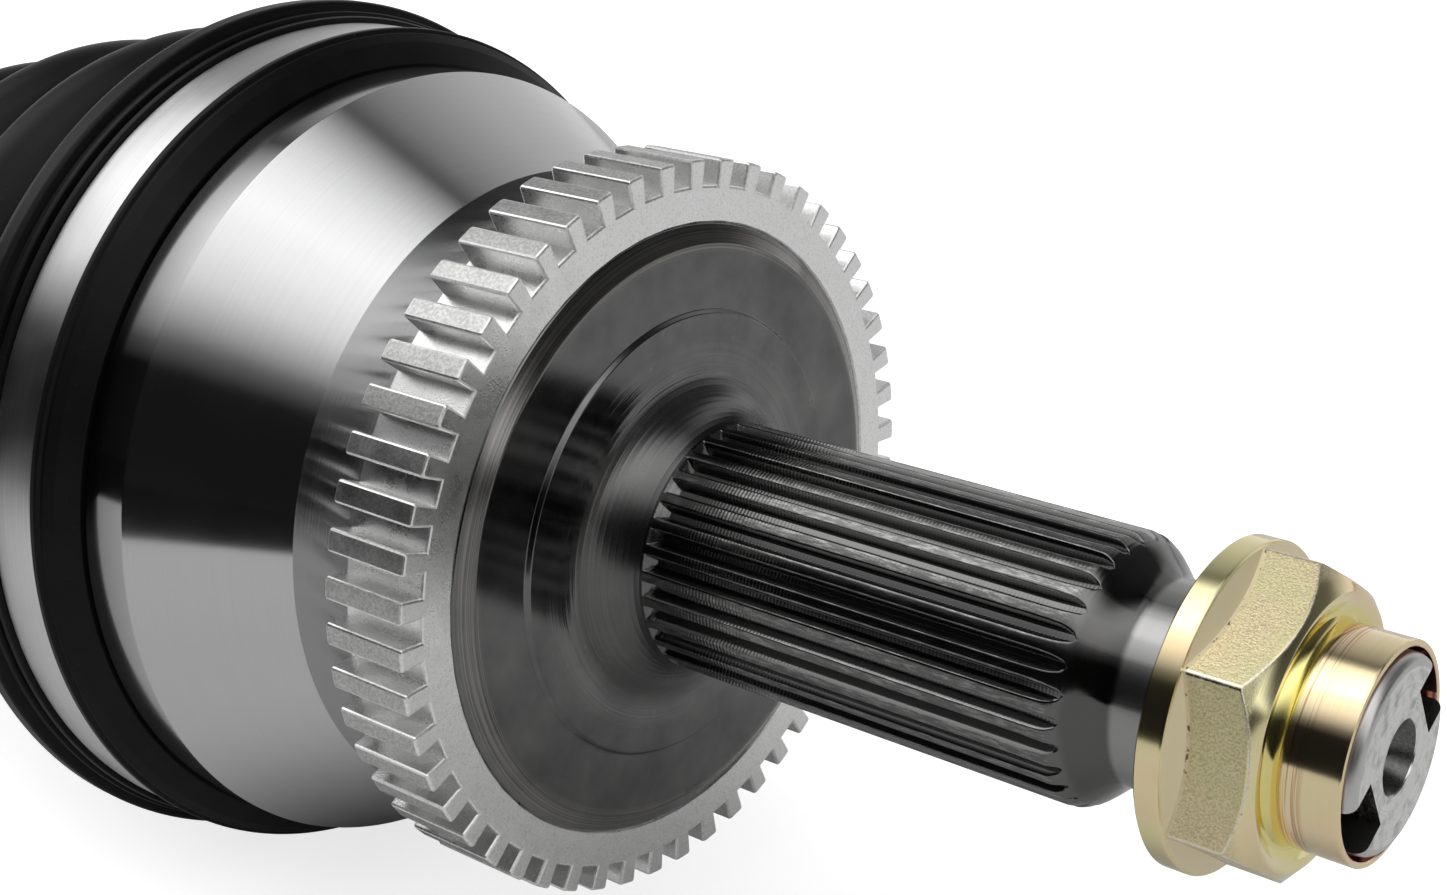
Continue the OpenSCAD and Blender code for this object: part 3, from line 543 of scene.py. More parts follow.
def make_band(name, front_x, width, inner_r, angle_deg):
    """Band clamp with rounded edges and a crimped ear, its strip carried round the axle."""
    ear_half = math.radians(4.6)
    ear_r = 3.0
    middle = math.radians(angle_deg)
    start = middle + ear_half
    sweep = TURN - 2 * ear_half
    strip = [(inner_r, start + sweep * t) for t in np.linspace(0, 1, 420)]
    for t in np.linspace(0.12, 0.88, 15):
        bend = math.pi * (1 - t)
        across = math.cos(bend) * ear_r * 0.82
        height = inner_r + ear_r * 0.9 * math.sin(bend) ** 0.6
        strip.append((height, middle + across / inner_r))
    rim = 0.22
    section = [(0, 0), (0, clamp_t - rim), (rim, clamp_t - 0.02), (rim * 2, clamp_t),
               (width - rim * 2, clamp_t), (width - rim, clamp_t - 0.02), (width, rim), (width, 0)]
    radii, angles = (np.array(values) for values in zip(*strip))
    rows = [around(front_x - along, radii + up, angles) for along, up in section]
    rows.append(rows[0])
    return skin(name, rows, sharp=50.0)


def make_inner_boot(part):
    """One half of the inner boot, cut at the crest of its second fold."""
    large_r = inner_cuff_r + clamp_t
    back_x = tulip_mouth_x - boot_band
    first_x = tulip_mouth_x + 9.0
    split_x = first_x + inner_fold_pitch
    cuff_x = first_x + (len(inner_fold_r) - 1) * inner_fold_pitch + 10.0
    clamp_x = tulip_mouth_x - boot_band / 2
    half = clamp_w / 2 + 0.3
    folds = [fold_corners(first_x + i * inner_fold_pitch, r, inner_fold_depth, inner_fold_pitch, 1)
             for i, r in enumerate(inner_fold_r)]
    valley_x, valley_r, valley_round = folds[1][0]
    folds[1][0] = (valley_x, valley_r + bar_clearance, valley_round)
    split = (split_x, inner_fold_r[1], 0.0)
    if part == "tulip":
        outside = [
            (back_x, tulip_r + 0.35, 0.3), (back_x, large_r + 0.3, 0.5),
            (clamp_x - half, large_r + 0.3, 0.3), (clamp_x - half, inner_cuff_r, 0.1),
            (clamp_x + half, inner_cuff_r, 0.1), (clamp_x + half, large_r + 0.3, 0.3),
            (tulip_mouth_x + 0.6, large_r, 1.5),
        ]
        folded = folds[0] + folds[1][:3] + [split]
        inside = [(tulip_mouth_x + 0.4, tulip_r + 0.35), (back_x, tulip_r + 0.35)]
        outline = outside + folded + inner_wall(folded, inner_boot_wall) + inside
        return lathe("gear_side_boot", outline, segments=288)
    folded = [split] + folds[1][3:] + folds[2] + folds[3]
    cuff = cuff_corners(cuff_x, 1, 1.5, (1.0, 0.8))
    outline = folded + cuff + inner_wall(folded, inner_boot_wall)
    return lathe("gear_side_boot_neck", outline, segments=288)


# Material nodes

def node(tree, kind, inputs=None, **settings):
    """Adds a shader node, with values or sockets for its inputs."""
    made = tree.nodes.new("ShaderNode" + kind)
    for key, value in settings.items():
        setattr(made, key, value)
    for key, value in (inputs or {}).items():
        if isinstance(value, bpy.types.NodeSocket):
            tree.links.new(value, made.inputs[key])
        else:
            made.inputs[key].default_value = value
    return made


def math_node(tree, operation, first, second=0.0, clamp=False):
    """One step of arithmetic on sockets or numbers."""
    made = node(tree, "Math", {0: first, 1: second}, operation=operation, use_clamp=clamp)
    return made.outputs[0]


def times(tree, first, second):
    return math_node(tree, "MULTIPLY", first, second)


def plus(tree, first, second):
    return math_node(tree, "ADD", first, second)


def minus(tree, first, second):
    return math_node(tree, "SUBTRACT", first, second)


def tint(tree, colour, mask, share, other):
    """Blends a colour into another where a mask is set, up to a share."""
    return blend_colours(tree, times(tree, mask, share), colour, other)


def new_material(name, **values):
    """Material with its Principled shader's values. Returns it with its node tree."""
    made = bpy.data.materials.new(name)
    made.use_nodes = True
    tree = made.node_tree
    shader = tree.nodes["Principled BSDF"]
    for key, value in values.items():
        shader.inputs[key.replace("_", " ")].default_value = value
    return made, tree


def millimetres(tree):
    """The place on the object, in millimetres."""
    here = node(tree, "TexCoord").outputs["Object"]
    return node(tree, "VectorMath", {0: here, "Scale": 1 / MM}, operation="SCALE").outputs[0]


def axle_parts(tree):
    """Station, radius and angle round the axle, as sockets."""
    split = node(tree, "SeparateXYZ", {0: millimetres(tree)})
    y, z = split.outputs[1], split.outputs[2]
    squares = plus(tree, times(tree, y, y), times(tree, z, z))
    return split.outputs[0], math_node(tree, "SQRT", squares), math_node(tree, "ARCTAN2", y, z)


def noise(tree, scale, detail, roughness=0.55, vector=None):
    """Noise of about 0.3 to 0.7, with a scale in grains per millimetre."""
    if vector is None:
        vector = millimetres(tree)
    return node(tree, "TexNoise", {"Vector": vector, "Scale": scale, "Detail": detail,
                                   "Roughness": roughness}).outputs[0]


def turned_lines(tree, per_mm, streak, detail):
    """Noise drawn out round the axle, as a lathe tool leaves."""
    x, r, angle = axle_parts(tree)
    parts = {0: times(tree, x, per_mm), 1: times(tree, r, per_mm), 2: times(tree, angle, streak)}
    return noise(tree, 1.0, detail, vector=node(tree, "CombineXYZ", parts).outputs[0])


def stops(tree, value, *pairs):
    """Colour ramp with (position, colour) stops. A colour is a grey level or three values."""
    made = node(tree, "ValToRGB", {0: value})
    elements = made.color_ramp.elements
    while len(elements) < len(pairs):
        elements.new(0.5)
    for element, (position, colour) in zip(elements, pairs):
        element.position = position
        grey = isinstance(colour, (int, float))
        element.color = (colour, colour, colour, 1.0) if grey else (*colour, 1.0)
    return made.outputs[0]


def blend_colours(tree, share, first, second):
    """The first colour where the share is 0 and the second where it is 1."""
    if isinstance(second, tuple):
        second = (*second, 1.0)
    return node(tree, "Mix", {0: share, 6: first, 7: second}, data_type="RGBA").outputs[2]


def ramp(tree, value, low, high, start=0.0, end=1.0, kind="LINEAR"):
    """Runs from one level to another while a value goes from low to high."""
    return node(tree, "MapRange", {0: value, 1: low, 2: high, 3: start, 4: end},
                interpolation_type=kind).outputs[0]


def between(tree, value, low, high, soft):
    """1 where a value lies between two limits, 0 elsewhere."""
    rise = ramp(tree, value, low - soft, low + soft, kind="SMOOTHSTEP")
    fall = ramp(tree, value, high - soft, high + soft, 1.0, 0.0, kind="SMOOTHSTEP")
    return times(tree, rise, fall)


def bump(tree, height, strength, distance_mm, under=None):
    """Relief from a height, over the relief under it."""
    inputs = {"Height": height, "Strength": strength, "Distance": distance_mm * MM}
    if under is not None:
        inputs["Normal"] = under
    return node(tree, "Bump", inputs).outputs[0]


def brushed(tree, amount):
    """Stretches the reflections across the turning lines."""
    shader = tree.nodes["Principled BSDF"]
    shader.inputs["Anisotropic"].default_value = amount
    shader.inputs["Anisotropic Rotation"].default_value = 0.25
    tangent = node(tree, "Tangent", direction_type="RADIAL", axis="X")
    tree.links.new(tangent.outputs[0], shader.inputs["Tangent"])


def finish_material(made, colour, roughness, normal, metallic=None):
    """Links what the material's shader shows, and returns the material."""
    tree = made.node_tree
    shown = {"Base Color": colour, "Roughness": roughness, "Normal": normal, "Metallic": metallic}
    for key, value in shown.items():
        if value is not None:
            tree.links.new(value, tree.nodes["Principled BSDF"].inputs[key])
    return made


# Materials

def turned_steel():
    """Bright turned steel: smooth cone, lined land painted darker as shade beside the tone ring,
    and a duller band before the boot, painted darker towards the boot as shade and reflection of
    its bead.
    """
    made, tree = new_material("turned_steel", Metallic=1.0)
    x, _, _ = axle_parts(tree)
    fine = turned_lines(tree, 5.0, 0.5, 3.0)
    mottle = noise(tree, 0.09, 3.0)
    land = between(tree, x, cone_front_x, ring_back_x, 0.1)
    band = between(tree, x, boot_face_x - 1.0, cone_back_x, 0.15)
    colour = stops(tree, fine, (0.3, (0.60, 0.60, 0.605)), (0.7, (0.63, 0.63, 0.635)))
    colour = tint(tree, colour, mottle, 0.12, (0.52, 0.52, 0.53))
    # Painted shade: the land is darker, standing in for the shade and dark reflections beside the
    # tone ring.
    colour = blend_colours(tree, land, colour, (0.36, 0.36, 0.365))
    # Painted shade: the band darkens towards the boot, standing in for the shade and reflection of
    # the boot's bead.
    painted_bead_shade = ramp(tree, x, cone_back_x, boot_face_x, 0.35, 0.85)
    colour = tint(tree, colour, band, painted_bead_shade, (0.14, 0.14, 0.145))
    rough = stops(tree, mottle, (0.3, 0.14), (0.7, 0.18))
    rough = minus(tree, rough, times(tree, band, 0.08))
    rough = plus(tree, rough, times(tree, land, 0.06))
    brushed(tree, 0.85)
    facing = ramp(tree, x, cone_front_x, ring_back_x, 0.0, cone_front_x - ring_back_x)
    normal = bump(tree, facing, 1.0, land_facet)
    depth = plus(tree, times(tree, land, 7.0), 0.15)
    normal = bump(tree, times(tree, fine, depth), 0.22, 0.010, normal)
    return finish_material(made, colour, rough, normal)


def face_marks(tree, base, r, fine, face, rubbed):
    """Rubbed ring round the fillet, bright lines inside the tone ring and dust between them."""
    worn = times(tree, rubbed, stops(tree, fine, (0.42, 0.15), (0.62, 1.0)))
    base = tint(tree, base, worn, 0.4, (0.27, 0.268, 0.264))
    lines = stops(tree, fine, (0.45, 0.0), (0.62, 1.0))
    lines = times(tree, between(tree, r, 36.8, 39.6, 0.5), lines)
    base = tint(tree, base, lines, 0.6, (0.36, 0.345, 0.32))
    scuff = stops(tree, noise(tree, 0.55, 7.0, 0.75), (0.60, 0.0), (0.72, 1.0))
    dusty = times(tree, between(tree, r, 20.0, 29.0, 2.0), face)
    return tint(tree, base, times(tree, dusty, scuff), 0.5, (0.40, 0.39, 0.37))


def stub_marks(tree, base, x, r, spline):
    """Grey grooves, darker crests that are rubbed in places, and the dark slope to the neck."""
    base = tint(tree, base, spline, 0.85, (0.17, 0.169, 0.167))
    crest = times(tree, between(tree, r, 15.85, 16.3, 0.06), spline)
    base = tint(tree, base, crest, 0.8, (0.13, 0.129, 0.127))
    drawn = node(tree, "Mapping", {0: millimetres(tree), 3: (0.5, 3.0, 3.0)}).outputs[0]
    rub = stops(tree, noise(tree, 1.0, 6.0, 0.7, vector=drawn), (0.47, 0.0), (0.62, 1.0))
    base = tint(tree, base, times(tree, crest, rub), 0.7, (0.36, 0.357, 0.35))
    slope = between(tree, x, slope_x + 2.2, slope_x + slope_len, 0.5)
    return blend_colours(tree, slope, base, (0.125, 0.124, 0.122))


def black_oxide():
    """Oiled black oxide of the bell's face and the stub, with turning and hobbing marks."""
    made, tree = new_material("black_oxide", Metallic=1.0)
    x, r, _ = axle_parts(tree)
    rings = turned_lines(tree, 1.6, 0.35, 4.0)
    fine = turned_lines(tree, 7.0, 0.7, 2.0)
    stain = noise(tree, 0.12, 4.0, 0.6)
    face = between(tree, x, -3.0, root_fillet + 0.2, 0.2)
    rubbed = times(tree, between(tree, r, 17.0, 25.5, 0.8), face)
    fillet = times(tree, between(tree, r, stub_r + 0.05, 21.0, 0.4), face)
    spline = between(tree, x, groove_start_x, slope_x + 2.0, 0.4)
    polished = between(tree, x, slope_x + 2.0, nut_x + 1.0, 1.0)
    neck = between(tree, x, slope_x + slope_len, nut_x + 1.0, 0.5)
    base = stops(tree, stain, (0.35, (0.130, 0.130, 0.131)), (0.75, (0.205, 0.203, 0.200)))
    base = face_marks(tree, base, r, fine, face, rubbed)
    base = stub_marks(tree, base, x, r, spline)
    base = blend_colours(tree, neck, base, (0.34, 0.338, 0.333))
    # Painted shade: the root fillet is darker, standing in for the shade in the corner at the
    # stub's root.
    base = tint(tree, base, fillet, 0.5, (0.11, 0.109, 0.107))
    level = plus(tree, times(tree, stain, 0.6), times(tree, fine, 0.4))
    rough = stops(tree, level, (0.3, 0.12), (0.7, 0.20))
    rough = minus(tree, rough, times(tree, polished, 0.05))
    rough = plus(tree, rough, times(tree, neck, 0.12))
    rough = plus(tree, rough, times(tree, fillet, 0.10))
    along = node(tree, "CombineXYZ", {0: x}).outputs[0]
    hob = node(tree, "TexWave", {"Vector": along, "Scale": 0.62, "Distortion": 0.6, "Detail": 1.0},
               wave_type="BANDS", bands_direction="X")
    normal = bump(tree, times(tree, rings, rubbed), 0.5, 0.10)
    normal = bump(tree, fine, 0.22, 0.012, normal)
    normal = bump(tree, times(tree, hob.outputs[1], spline), 0.45, 0.02, normal)
    return finish_material(made, base, rough, normal)


def bare_end():
    """Turned end of the stub, where the plating is cut away, with the thread behind it."""
    made, tree = new_material("bare_thread_end", Metallic=1.0)
    x, r, _ = axle_parts(tree)
    fine = turned_lines(tree, 6.0, 0.6, 2.0)
    smear = noise(tree, 0.45, 5.0, 0.6)
    colour = stops(tree, fine, (0.3, (0.66, 0.657, 0.65)), (0.7, (0.90, 0.895, 0.885)))
    patches = stops(tree, smear, (0.48, 0.0), (0.66, 0.55))
    colour = blend_colours(tree, patches, colour, (0.12, 0.119, 0.117))
    edge = between(tree, r, thread_r - 1.2, thread_r + 0.5, 0.1)
    colour = blend_colours(tree, edge, colour, (0.62, 0.615, 0.605))
    along = node(tree, "CombineXYZ", {0: x}).outputs[0]
    thread = node(tree, "TexWave", {"Vector": along, "Scale": 0.21}, wave_type="BANDS",
                  bands_direction="X")
    threaded = times(tree, thread.outputs[1], between(tree, x, nut_x, stub_end_x - 1.5, 0.2))
    normal = bump(tree, fine, 0.3, 0.03)
    normal = bump(tree, threaded, 0.6, 0.5, normal)
    rough = plus(tree, stops(tree, fine, (0.3, 0.16), (0.7, 0.30)), times(tree, edge, 0.14))
    return finish_material(made, colour, rough, normal)


def grainy_zinc():
    """Sintered, zinc-plated tone ring: bright with a fine grain, and darker in its pores."""
    made, tree = new_material("grainy_zinc", Metallic=1.0)
    _, r, _ = axle_parts(tree)
    grain = noise(tree, 4.2, 3.0, 0.6)
    patch = noise(tree, 0.35, 3.0)
    colour = stops(tree, grain, (0.34, (0.78, 0.78, 0.775)), (0.46, (0.95, 0.95, 0.945)),
                   (0.66, (0.99, 0.99, 0.98)))
    colour = tint(tree, colour, patch, 0.10, (0.80, 0.80, 0.795))
    tips = between(tree, r, ring_tip_r - 0.2, ring_tip_r + 1.0, 0.1)
    pits = stops(tree, noise(tree, 2.4, 4.0, 0.7), (0.42, 1.0), (0.58, 0.6))
    colour = blend_colours(tree, times(tree, tips, pits), colour, (0.46, 0.46, 0.455))
    rough = stops(tree, patch, (0.3, 0.24), (0.7, 0.34))
    rough = plus(tree, rough, times(tree, tips, 0.05))
    return finish_material(made, colour, rough, bump(tree, grain, 0.5, 0.05))


def worn_edge_and_painted_highlight():
    """Rubbed edges of the tone ring, smoother than its faces and painted brighter as a highlight on
    top of the wear.
    """
    made, tree = new_material("worn_edge_and_painted_highlight", Metallic=1.0)
    grain = noise(tree, 2.2, 3.0, 0.6)
    # The edges' brightness is partly wear and partly a painted highlight.
    colour = stops(tree, grain, (0.36, (0.80, 0.80, 0.79)), (0.52, (0.99, 0.99, 0.98)))
    rough = stops(tree, grain, (0.3, 0.30), (0.7, 0.44))
    return finish_material(made, colour, rough, bump(tree, grain, 0.4, 0.04))


def hexagon_colour(tree, gold, grain, cone, flats, forged):
    """Dull, specked flats, the pale forged cone under them, and nicks along the seam between."""
    dull = times(tree, stops(tree, grain, (0.38, 1.0), (0.56, 0.0)), flats)
    gold = tint(tree, gold, flats, 0.4, (0.78, 0.71, 0.46))
    gold = tint(tree, gold, dull, 0.6, (0.50, 0.43, 0.23))
    gold = blend_colours(tree, forged, gold, (0.98, 0.86, 0.58))
    nick = stops(tree, noise(tree, 1.3, 3.0, 0.6), (0.36, 1.0), (0.40, 0.0))
    seam = times(tree, between(tree, cone, hex_cone - 0.1, hex_cone + 0.35, 0.1), forged)
    return blend_colours(tree, times(tree, nick, seam), gold, (0.22, 0.15, 0.08))


def collar_colour(tree, gold, x, r, lines):
    """Yellow neck, coppery collar with dark ruled lines at its foot, and its pink mouth."""
    neck = times(tree, between(tree, x, hex_end_x - 1.2, hex_end_x + 1.0, 0.3),
                 between(tree, r, thread_r, 13.9, 0.4))
    gold = tint(tree, gold, neck, 0.75, (0.90, 0.80, 0.27))
    collar = between(tree, x, hex_end_x + 1.6, collar_end_x + 1.0, 0.5)
    copper = stops(tree, lines, (0.35, (0.92, 0.70, 0.44)), (0.65, (0.96, 0.76, 0.54)))
    gold = tint(tree, gold, collar, 0.45, copper)
    ruled = times(tree, between(tree, x, hex_end_x + 0.9, hex_end_x + 3.2, 0.5),
                  stops(tree, lines, (0.46, 1.0), (0.54, 0.0)))
    gold = tint(tree, gold, ruled, 0.75, (0.50, 0.27, 0.15))
    mouth = times(tree, between(tree, r, thread_r, collar_r - 0.7, 0.1), collar)
    return blend_colours(tree, mouth, gold, (0.92, 0.52, 0.42))


def yellow_zinc():
    """Yellow passivate over zinc, drifting from gold to green and pink."""
    made, tree = new_material("yellow_zinc", Metallic=1.0)
    x, r, _ = axle_parts(tree)
    drift = noise(tree, 0.11, 2.0, 0.5)
    grain = noise(tree, 3.8, 4.0, 0.65)
    lines = turned_lines(tree, 4.5, 0.6, 3.0)
    cone = plus(tree, x, times(tree, r, flange_rise))
    flats = times(tree, between(tree, cone, hex_cone, hex_cone + 6.6, 0.15),
                  between(tree, r, hex_af / 2 - 0.15, flange_r, 0.1))
    forged = times(tree, between(tree, cone, hex_cone - 1.0, hex_cone + 0.25, 0.1),
                   between(tree, r, hex_af / 2 - 0.3, flange_r - 0.3, 0.1))
    gold = stops(tree, drift, (0.3, (0.93, 0.72, 0.44)), (0.45, (0.95, 0.80, 0.50)),
                 (0.6, (0.90, 0.82, 0.45)), (0.75, (0.86, 0.82, 0.52)))
    gold = hexagon_colour(tree, gold, grain, cone, flats, forged)
    gold = collar_colour(tree, gold, x, r, lines)
    dull = math_node(tree, "MAXIMUM", flats, times(tree, forged, 2.2))
    rough = plus(tree, times(tree, dull, 0.14), stops(tree, drift, (0.3, 0.11), (0.7, 0.16)))
    normal = bump(tree, times(tree, grain, flats), 0.65, 0.08)
    turned = times(tree, lines, minus(tree, 1.0, flats))
    normal = bump(tree, turned, 0.20, 0.01, normal)
    metal = minus(tree, 1.0, times(tree, forged, 0.7))
    return finish_material(made, gold, rough, normal, metal)


def rubbed_zinc():
    """Edges of the nut where the yellow is worn to pale metal, with dark nicks."""
    made, tree = new_material("rubbed_zinc", Metallic=1.0)
    grain = noise(tree, 1.6, 4.0, 0.7)
    colour = stops(tree, grain, (0.30, (0.20, 0.13, 0.08)), (0.37, (0.80, 0.69, 0.47)),
                   (0.55, (0.93, 0.86, 0.70)))
    rough = stops(tree, grain, (0.3, 0.18), (0.7, 0.32))
    return finish_material(made, colour, rough, bump(tree, grain, 0.5, 0.06))


def boot_rubber():
    """Black moulded rubber, slightly matt, with a fine skin and specks of dust."""
    made, tree = new_material("boot_rubber", Specular_IOR_Level=0.16)
    skin_grain = noise(tree, 3.2, 5.0, 0.65)
    bloom = noise(tree, 0.08, 3.0, 0.6)
    dust = stops(tree, noise(tree, 1.7, 2.0, 0.5), (0.70, 0.0), (0.78, 1.0))
    colour = stops(tree, bloom, (0.35, (0.0045, 0.0045, 0.0048)), (0.7, (0.0085, 0.0085, 0.009)))
    colour = tint(tree, colour, dust, 0.35, (0.06, 0.058, 0.054))
    rough = stops(tree, skin_grain, (0.3, 0.28), (0.7, 0.42))
    return finish_material(made, colour, rough, bump(tree, skin_grain, 0.25, 0.03))


def clamp_steel():
    """Satin strip steel of the band clamps, with rolling lines along the strip."""
    made, tree = new_material("clamp_steel", Metallic=1.0)
    fine = turned_lines(tree, 4.0, 1.2, 3.0)
    smear = noise(tree, 0.15, 3.0)
    colour = stops(tree, fine, (0.3, 0.66), (0.7, 0.78))
    rough = stops(tree, smear, (0.3, 0.28), (0.7, 0.38))
    brushed(tree, 0.8)
    return finish_material(made, colour, rough, bump(tree, fine, 0.12, 0.01))


def plain_steel(name, dark, light, rough_low, rough_high, grain=2.0, metallic=1.0, relief=0.04):
    """Steel with a grain and a slow drift in its shade, for the pieces inside and behind."""
    made, tree = new_material(name, Metallic=metallic)
    fine = noise(tree, grain, 4.0, 0.6)
    slow = noise(tree, 0.1, 2.0)
    level = plus(tree, times(tree, fine, 0.5), times(tree, slow, 0.5))
    colour = stops(tree, level, (0.35, dark), (0.65, light))
    rough = stops(tree, level, (0.35, rough_low), (0.65, rough_high))
    return finish_material(made, colour, rough, bump(tree, fine, 0.3, relief))


def forged_housing():
    """Forged scale of the gearbox-side housing, with its ground journal and oiled spline."""
    made, tree = new_material("forged_housing", Metallic=1.0)
    x, _, _ = axle_parts(tree)
    scale = noise(tree, 1.2, 4.0, 0.6)
    fine = turned_lines(tree, 4.0, 0.6, 2.0)
    colour = stops(tree, scale, (0.35, (0.050, 0.048, 0.046)), (0.65, (0.105, 0.100, 0.096)))
    splined = between(tree, x, stub_tip_x, journal_end_x, 0.5)
    colour = blend_colours(tree, splined, colour, (0.20, 0.198, 0.195))
    journal = between(tree, x, journal_end_x, journal_start_x, 0.3)
    ground = stops(tree, fine, (0.3, (0.50, 0.50, 0.505)), (0.7, (0.62, 0.62, 0.625)))
    colour = blend_colours(tree, journal, colour, ground)
    machined = math_node(tree, "ADD", journal, splined, clamp=True)
    rough = stops(tree, scale, (0.35, 0.34), (0.65, 0.48))
    rough = minus(tree, rough, times(tree, machined, 0.18))
    relief = times(tree, scale, minus(tree, 1.0, machined))
    return finish_material(made, colour, rough, bump(tree, relief, 0.5, 0.15))


def bar_paint():
    """Satin black paint over the forged bar, with a slight orange-peel."""
    made, tree = new_material("bar_paint", Coat_Weight=0.15)
    peel = noise(tree, 0.9, 2.0, 0.5)
    speck = noise(tree, 4.0, 4.0, 0.7)
    colour = stops(tree, speck, (0.4, (0.012, 0.012, 0.013)), (0.7, (0.024, 0.024, 0.025)))
    rough = stops(tree, peel, (0.3, 0.24), (0.7, 0.36))
    return finish_material(made, colour, rough, bump(tree, peel, 0.25, 0.08))


# Fitting the pieces to the frame

def paint(obj, *materials, chooser=None):
    """Gives a piece its materials. The chooser picks one by station and radius, in millimetres."""
    obj.data.materials.clear()
    for made in materials:
        obj.data.materials.append(made)
    for face in obj.data.polygons:
        face.material_index = chooser(*station_radius(face.center)) if chooser else 0
    return obj


def dress(obj, body, slot, *nodes):
    """Puts a finished piece on its body in place of its CAD nodes."""
    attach(obj, body)
    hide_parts(*nodes)
    return obj


def flex(obj, node, body_a, body_b, start_x, end_x):
    """Hides a boot's CAD node and bakes the boot's placement into its mesh."""
    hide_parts(node)
    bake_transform(obj)
    return obj


def repaint(made, *nodes):
    """Gives CAD nodes that are shown a finished material."""
    for name in nodes:
        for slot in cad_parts[name].material_slots:
            slot.material = made


def end_finish(x, r):
    """Slots are painted near black as the shade inside them, the lathe centre is grey, the rest is
    bare.
    """
    if x < stub_end_x - 1.5 and centre_mouth_r < r < thread_r - 0.2:
        return 1
    return 2 if r < centre_mouth_r - 0.3 and x < stub_end_x - 0.5 else 0


def build_housing(bright, black, forged):
    """The whole outer housing as one piece: bell, stub, threaded end and cavity."""
    # Painted shade: the slots' near-black colour stands in for the shade inside the slots.
    slot = plain_steel("slot_painted_shade", 0.012, (0.035, 0.034, 0.033), 0.35, 0.5, 2.0, 0.5)
    drilled = plain_steel("drilled_steel", (0.07, 0.069, 0.067), (0.22, 0.218, 0.214),
                          0.24, 0.38, 3.0)
    bell = paint(make_bell(), bright, black, chooser=lambda x, r: 0 if x < ring_front_x - 4 else 1)
    stub = paint(make_stub(), black)
    end = paint(make_stub_end(), bare_end(), slot, drilled, chooser=end_finish)
    cavity = paint(keep_inside("outer_housing", bell_inside, "cavity"), forged)
    whole = join("outer_joint_housing", bell, stub, end, cavity)
    return dress(whole, "outer_joint", "black_oxide_steel", "outer_housing")


def build_object():
    """Dresses every piece: the photographed ones with finer shapes, the others with a finish."""
    bright, black = turned_steel(), black_oxide()
    rubber, strip = boot_rubber(), clamp_steel()
    ground = plain_steel("ground_steel", (0.55, 0.55, 0.56), (0.72, 0.72, 0.73), 0.10, 0.20, 3.0)
    phosphate = plain_steel("phosphated_steel", (0.05, 0.05, 0.052), 0.10, 0.45, 0.6, 2.5, 0.4)
    forged = plain_steel("forged_oxide", (0.020, 0.019, 0.018), (0.045, 0.042, 0.040),
                         0.32, 0.5, 1.2, 0.3, 0.12)
    spring = plain_steel("spring_steel", (0.10, 0.10, 0.11), (0.22, 0.22, 0.23), 0.3, 0.45)
    build_housing(bright, black, forged)
    dress(make_tone_ring(grainy_zinc(), worn_edge_and_painted_highlight()), "outer_joint", "zinc_ring", "tone_ring")
    dress(make_nut(yellow_zinc(), rubbed_zinc()), "nut", "yellow_zinc", "hub_nut")
    band = make_band("hub_side_large_clamp", clamp_front_x, clamp_w, large_seat_r, ear_angle)
    dress(paint(band, strip), "outer_joint", "clamp_steel", "outer_boot_large_clamp")
    flex(paint(make_outer_boot(), rubber), "outer_boot", "outer_joint", "bar", *outer_flex)
    tulip_half = paint(make_inner_boot("tulip"), rubber)
    flex(tulip_half, "inner_boot", "inner_boot", "inner_joint", *tulip_flex)
    flex(paint(make_inner_boot("bar"), rubber), "inner_boot", "bar", "inner_boot", *neck_flex)
    repaint(strip, "outer_boot_small_clamp", "inner_boot_large_clamp", "inner_boot_small_clamp")
    repaint(ground, "inner_race", *[f"ball_{i}" for i in range(1, 7)],
            *[f"{kind}_{i}" for kind in ("roller", "needles") for i in range(1, 4)])
    repaint(phosphate, "ball_cage", "spider")
    repaint(spring, "race_circlip", "race_stop_ring", "spider_circlip", "roller_clips",
            "housing_ring", "stub_circlip")
    repaint(bright, "roller_retainers")
    repaint(forged_housing(), "tripod_housing")
    repaint(bar_paint(), "axle_bar")


# Camera, light and floor

def make_camera():
    """The camera that took the photograph."""
    data = bpy.data.cameras.new("camera")
    data.sensor_width = sensor_mm
    data.lens = focal_px / photo_w * sensor_mm
    data.clip_start = 0.01
    camera = place(bpy.data.objects.new("camera", data))
    right, up, back = camera_offset
    spot = Vector((aim_x, 0, 0)) + camera_right * right + camera_up * up + camera_back * back
    turn = Matrix((camera_right, camera_up, camera_back)).transposed()
    camera.matrix_world = Matrix.Translation(spot * MM) @ turn.to_4x4()
    bpy.context.scene.camera = camera


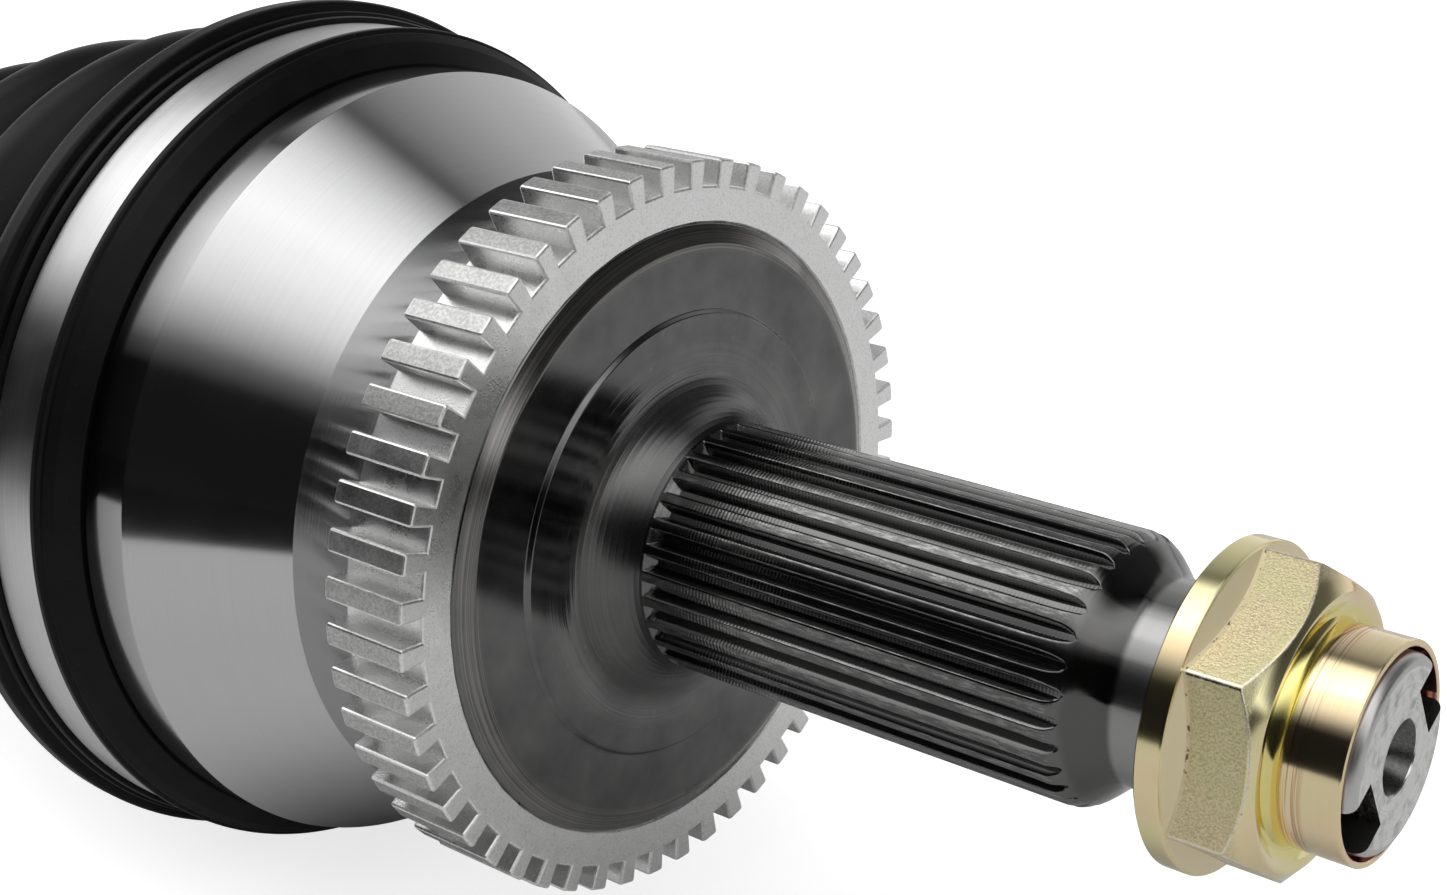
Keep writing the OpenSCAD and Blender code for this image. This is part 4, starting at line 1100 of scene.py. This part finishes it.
def make_world():
    """Long panels beside the axle, by angle from the camera's side: dark low, white overhead."""
    world = bpy.data.worlds.new("studio")
    bpy.context.scene.world = world
    world.use_nodes = True
    tree = world.node_tree
    tree.nodes.clear()
    way = node(tree, "SeparateXYZ", {0: node(tree, "TexCoord").outputs["Generated"]})
    toward = times(tree, way.outputs[1], -1.0)
    turn = math_node(tree, "DIVIDE", math_node(tree, "ARCTAN2", way.outputs[2], toward), math.pi)
    panels = [(0, 0.01), (29, 0.01), (36, 0.15), (42, 0.50), (52, 1.03), (63, 1.36), (76, 1.55),
              (86, 1.35), (95, 1.02), (104, 0.50), (110, 0.10), (117, 0.26), (126, 0.38),
              (142, 0.55), (160, 0.66), (180, 0.85)]
    level = stops(tree, turn, *[(angle / 180, value) for angle, value in panels])
    flag = times(tree, between(tree, way.outputs[0], flag_start, 2.0, 0.08),
                 between(tree, turn, *flag_sweep, 0.05))
    open_share = minus(tree, 1.0, times(tree, flag, flag_depth))
    light = node(tree, "Background", {0: times(tree, level, open_share), 1: 1.0})
    white = node(tree, "Background", {0: (1.0, 1.0, 1.0, 1.0), 1: 1.0})
    seen = node(tree, "LightPath").outputs["Is Camera Ray"]
    mixed = node(tree, "MixShader", {0: seen, 1: light.outputs[0], 2: white.outputs[0]})
    tree.links.new(mixed.outputs[0], node(tree, "OutputWorld").inputs[0])


def make_lamp(name, toward, distance, size, radiance):
    """Square lamp that shines on the origin from a direction."""
    data = bpy.data.lights.new(name, "AREA")
    data.shape = "SQUARE"
    data.size = size
    data.energy = radiance * math.pi * size * size
    lamp = place(bpy.data.objects.new(name, data))
    spot = Vector(toward).normalized() * distance
    lamp.location = spot
    lamp.rotation_euler = spot.to_track_quat("Z", "Y").to_euler()


def make_floor():
    """Pale floor that the camera sees as white, with the object's soft shadow left on it."""
    mesh = bpy.data.meshes.new("floor")
    reach = 6.0
    corners = [(-reach, -reach), (reach, -reach), (reach, reach), (-reach, reach)]
    mesh.from_pydata([(x, y, floor_z) for x, y in corners], [], [(0, 1, 2, 3)])
    floor = place(bpy.data.objects.new("floor", mesh))
    made = bpy.data.materials.new("pale_floor")
    made.use_nodes = True
    tree = made.node_tree
    tree.nodes.clear()
    y = node(tree, "SeparateXYZ", {0: node(tree, "TexCoord").outputs["Object"]}).outputs[1]
    near = ramp(tree, y, table_edge_y - 0.01, table_edge_y + 0.01)
    table = node(tree, "BsdfDiffuse", {0: stops(tree, near, (0.0, 0.01), (1.0, floor_white))})
    diffuse = node(tree, "BsdfDiffuse", {0: (floor_white, floor_white, floor_white, 1.0)})
    glow = node(tree, "Emission", {0: (1.0, 1.0, 1.0, 1.0), 1: floor_glow})
    both = node(tree, "AddShader", {0: diffuse.outputs[0], 1: glow.outputs[0]})
    seen = node(tree, "LightPath").outputs["Is Camera Ray"]
    mixed = node(tree, "MixShader", {0: seen, 1: table.outputs[0], 2: both.outputs[0]})
    tree.links.new(mixed.outputs[0], node(tree, "OutputMaterial").inputs[0])
    mesh.materials.append(made)


make_camera()
make_world()
make_lamp("key", (-0.44, -0.11, 0.89), 1.5, 0.9, 0.5)
make_floor()
build_object()
bpy.context.scene.view_settings.view_transform = "Standard"
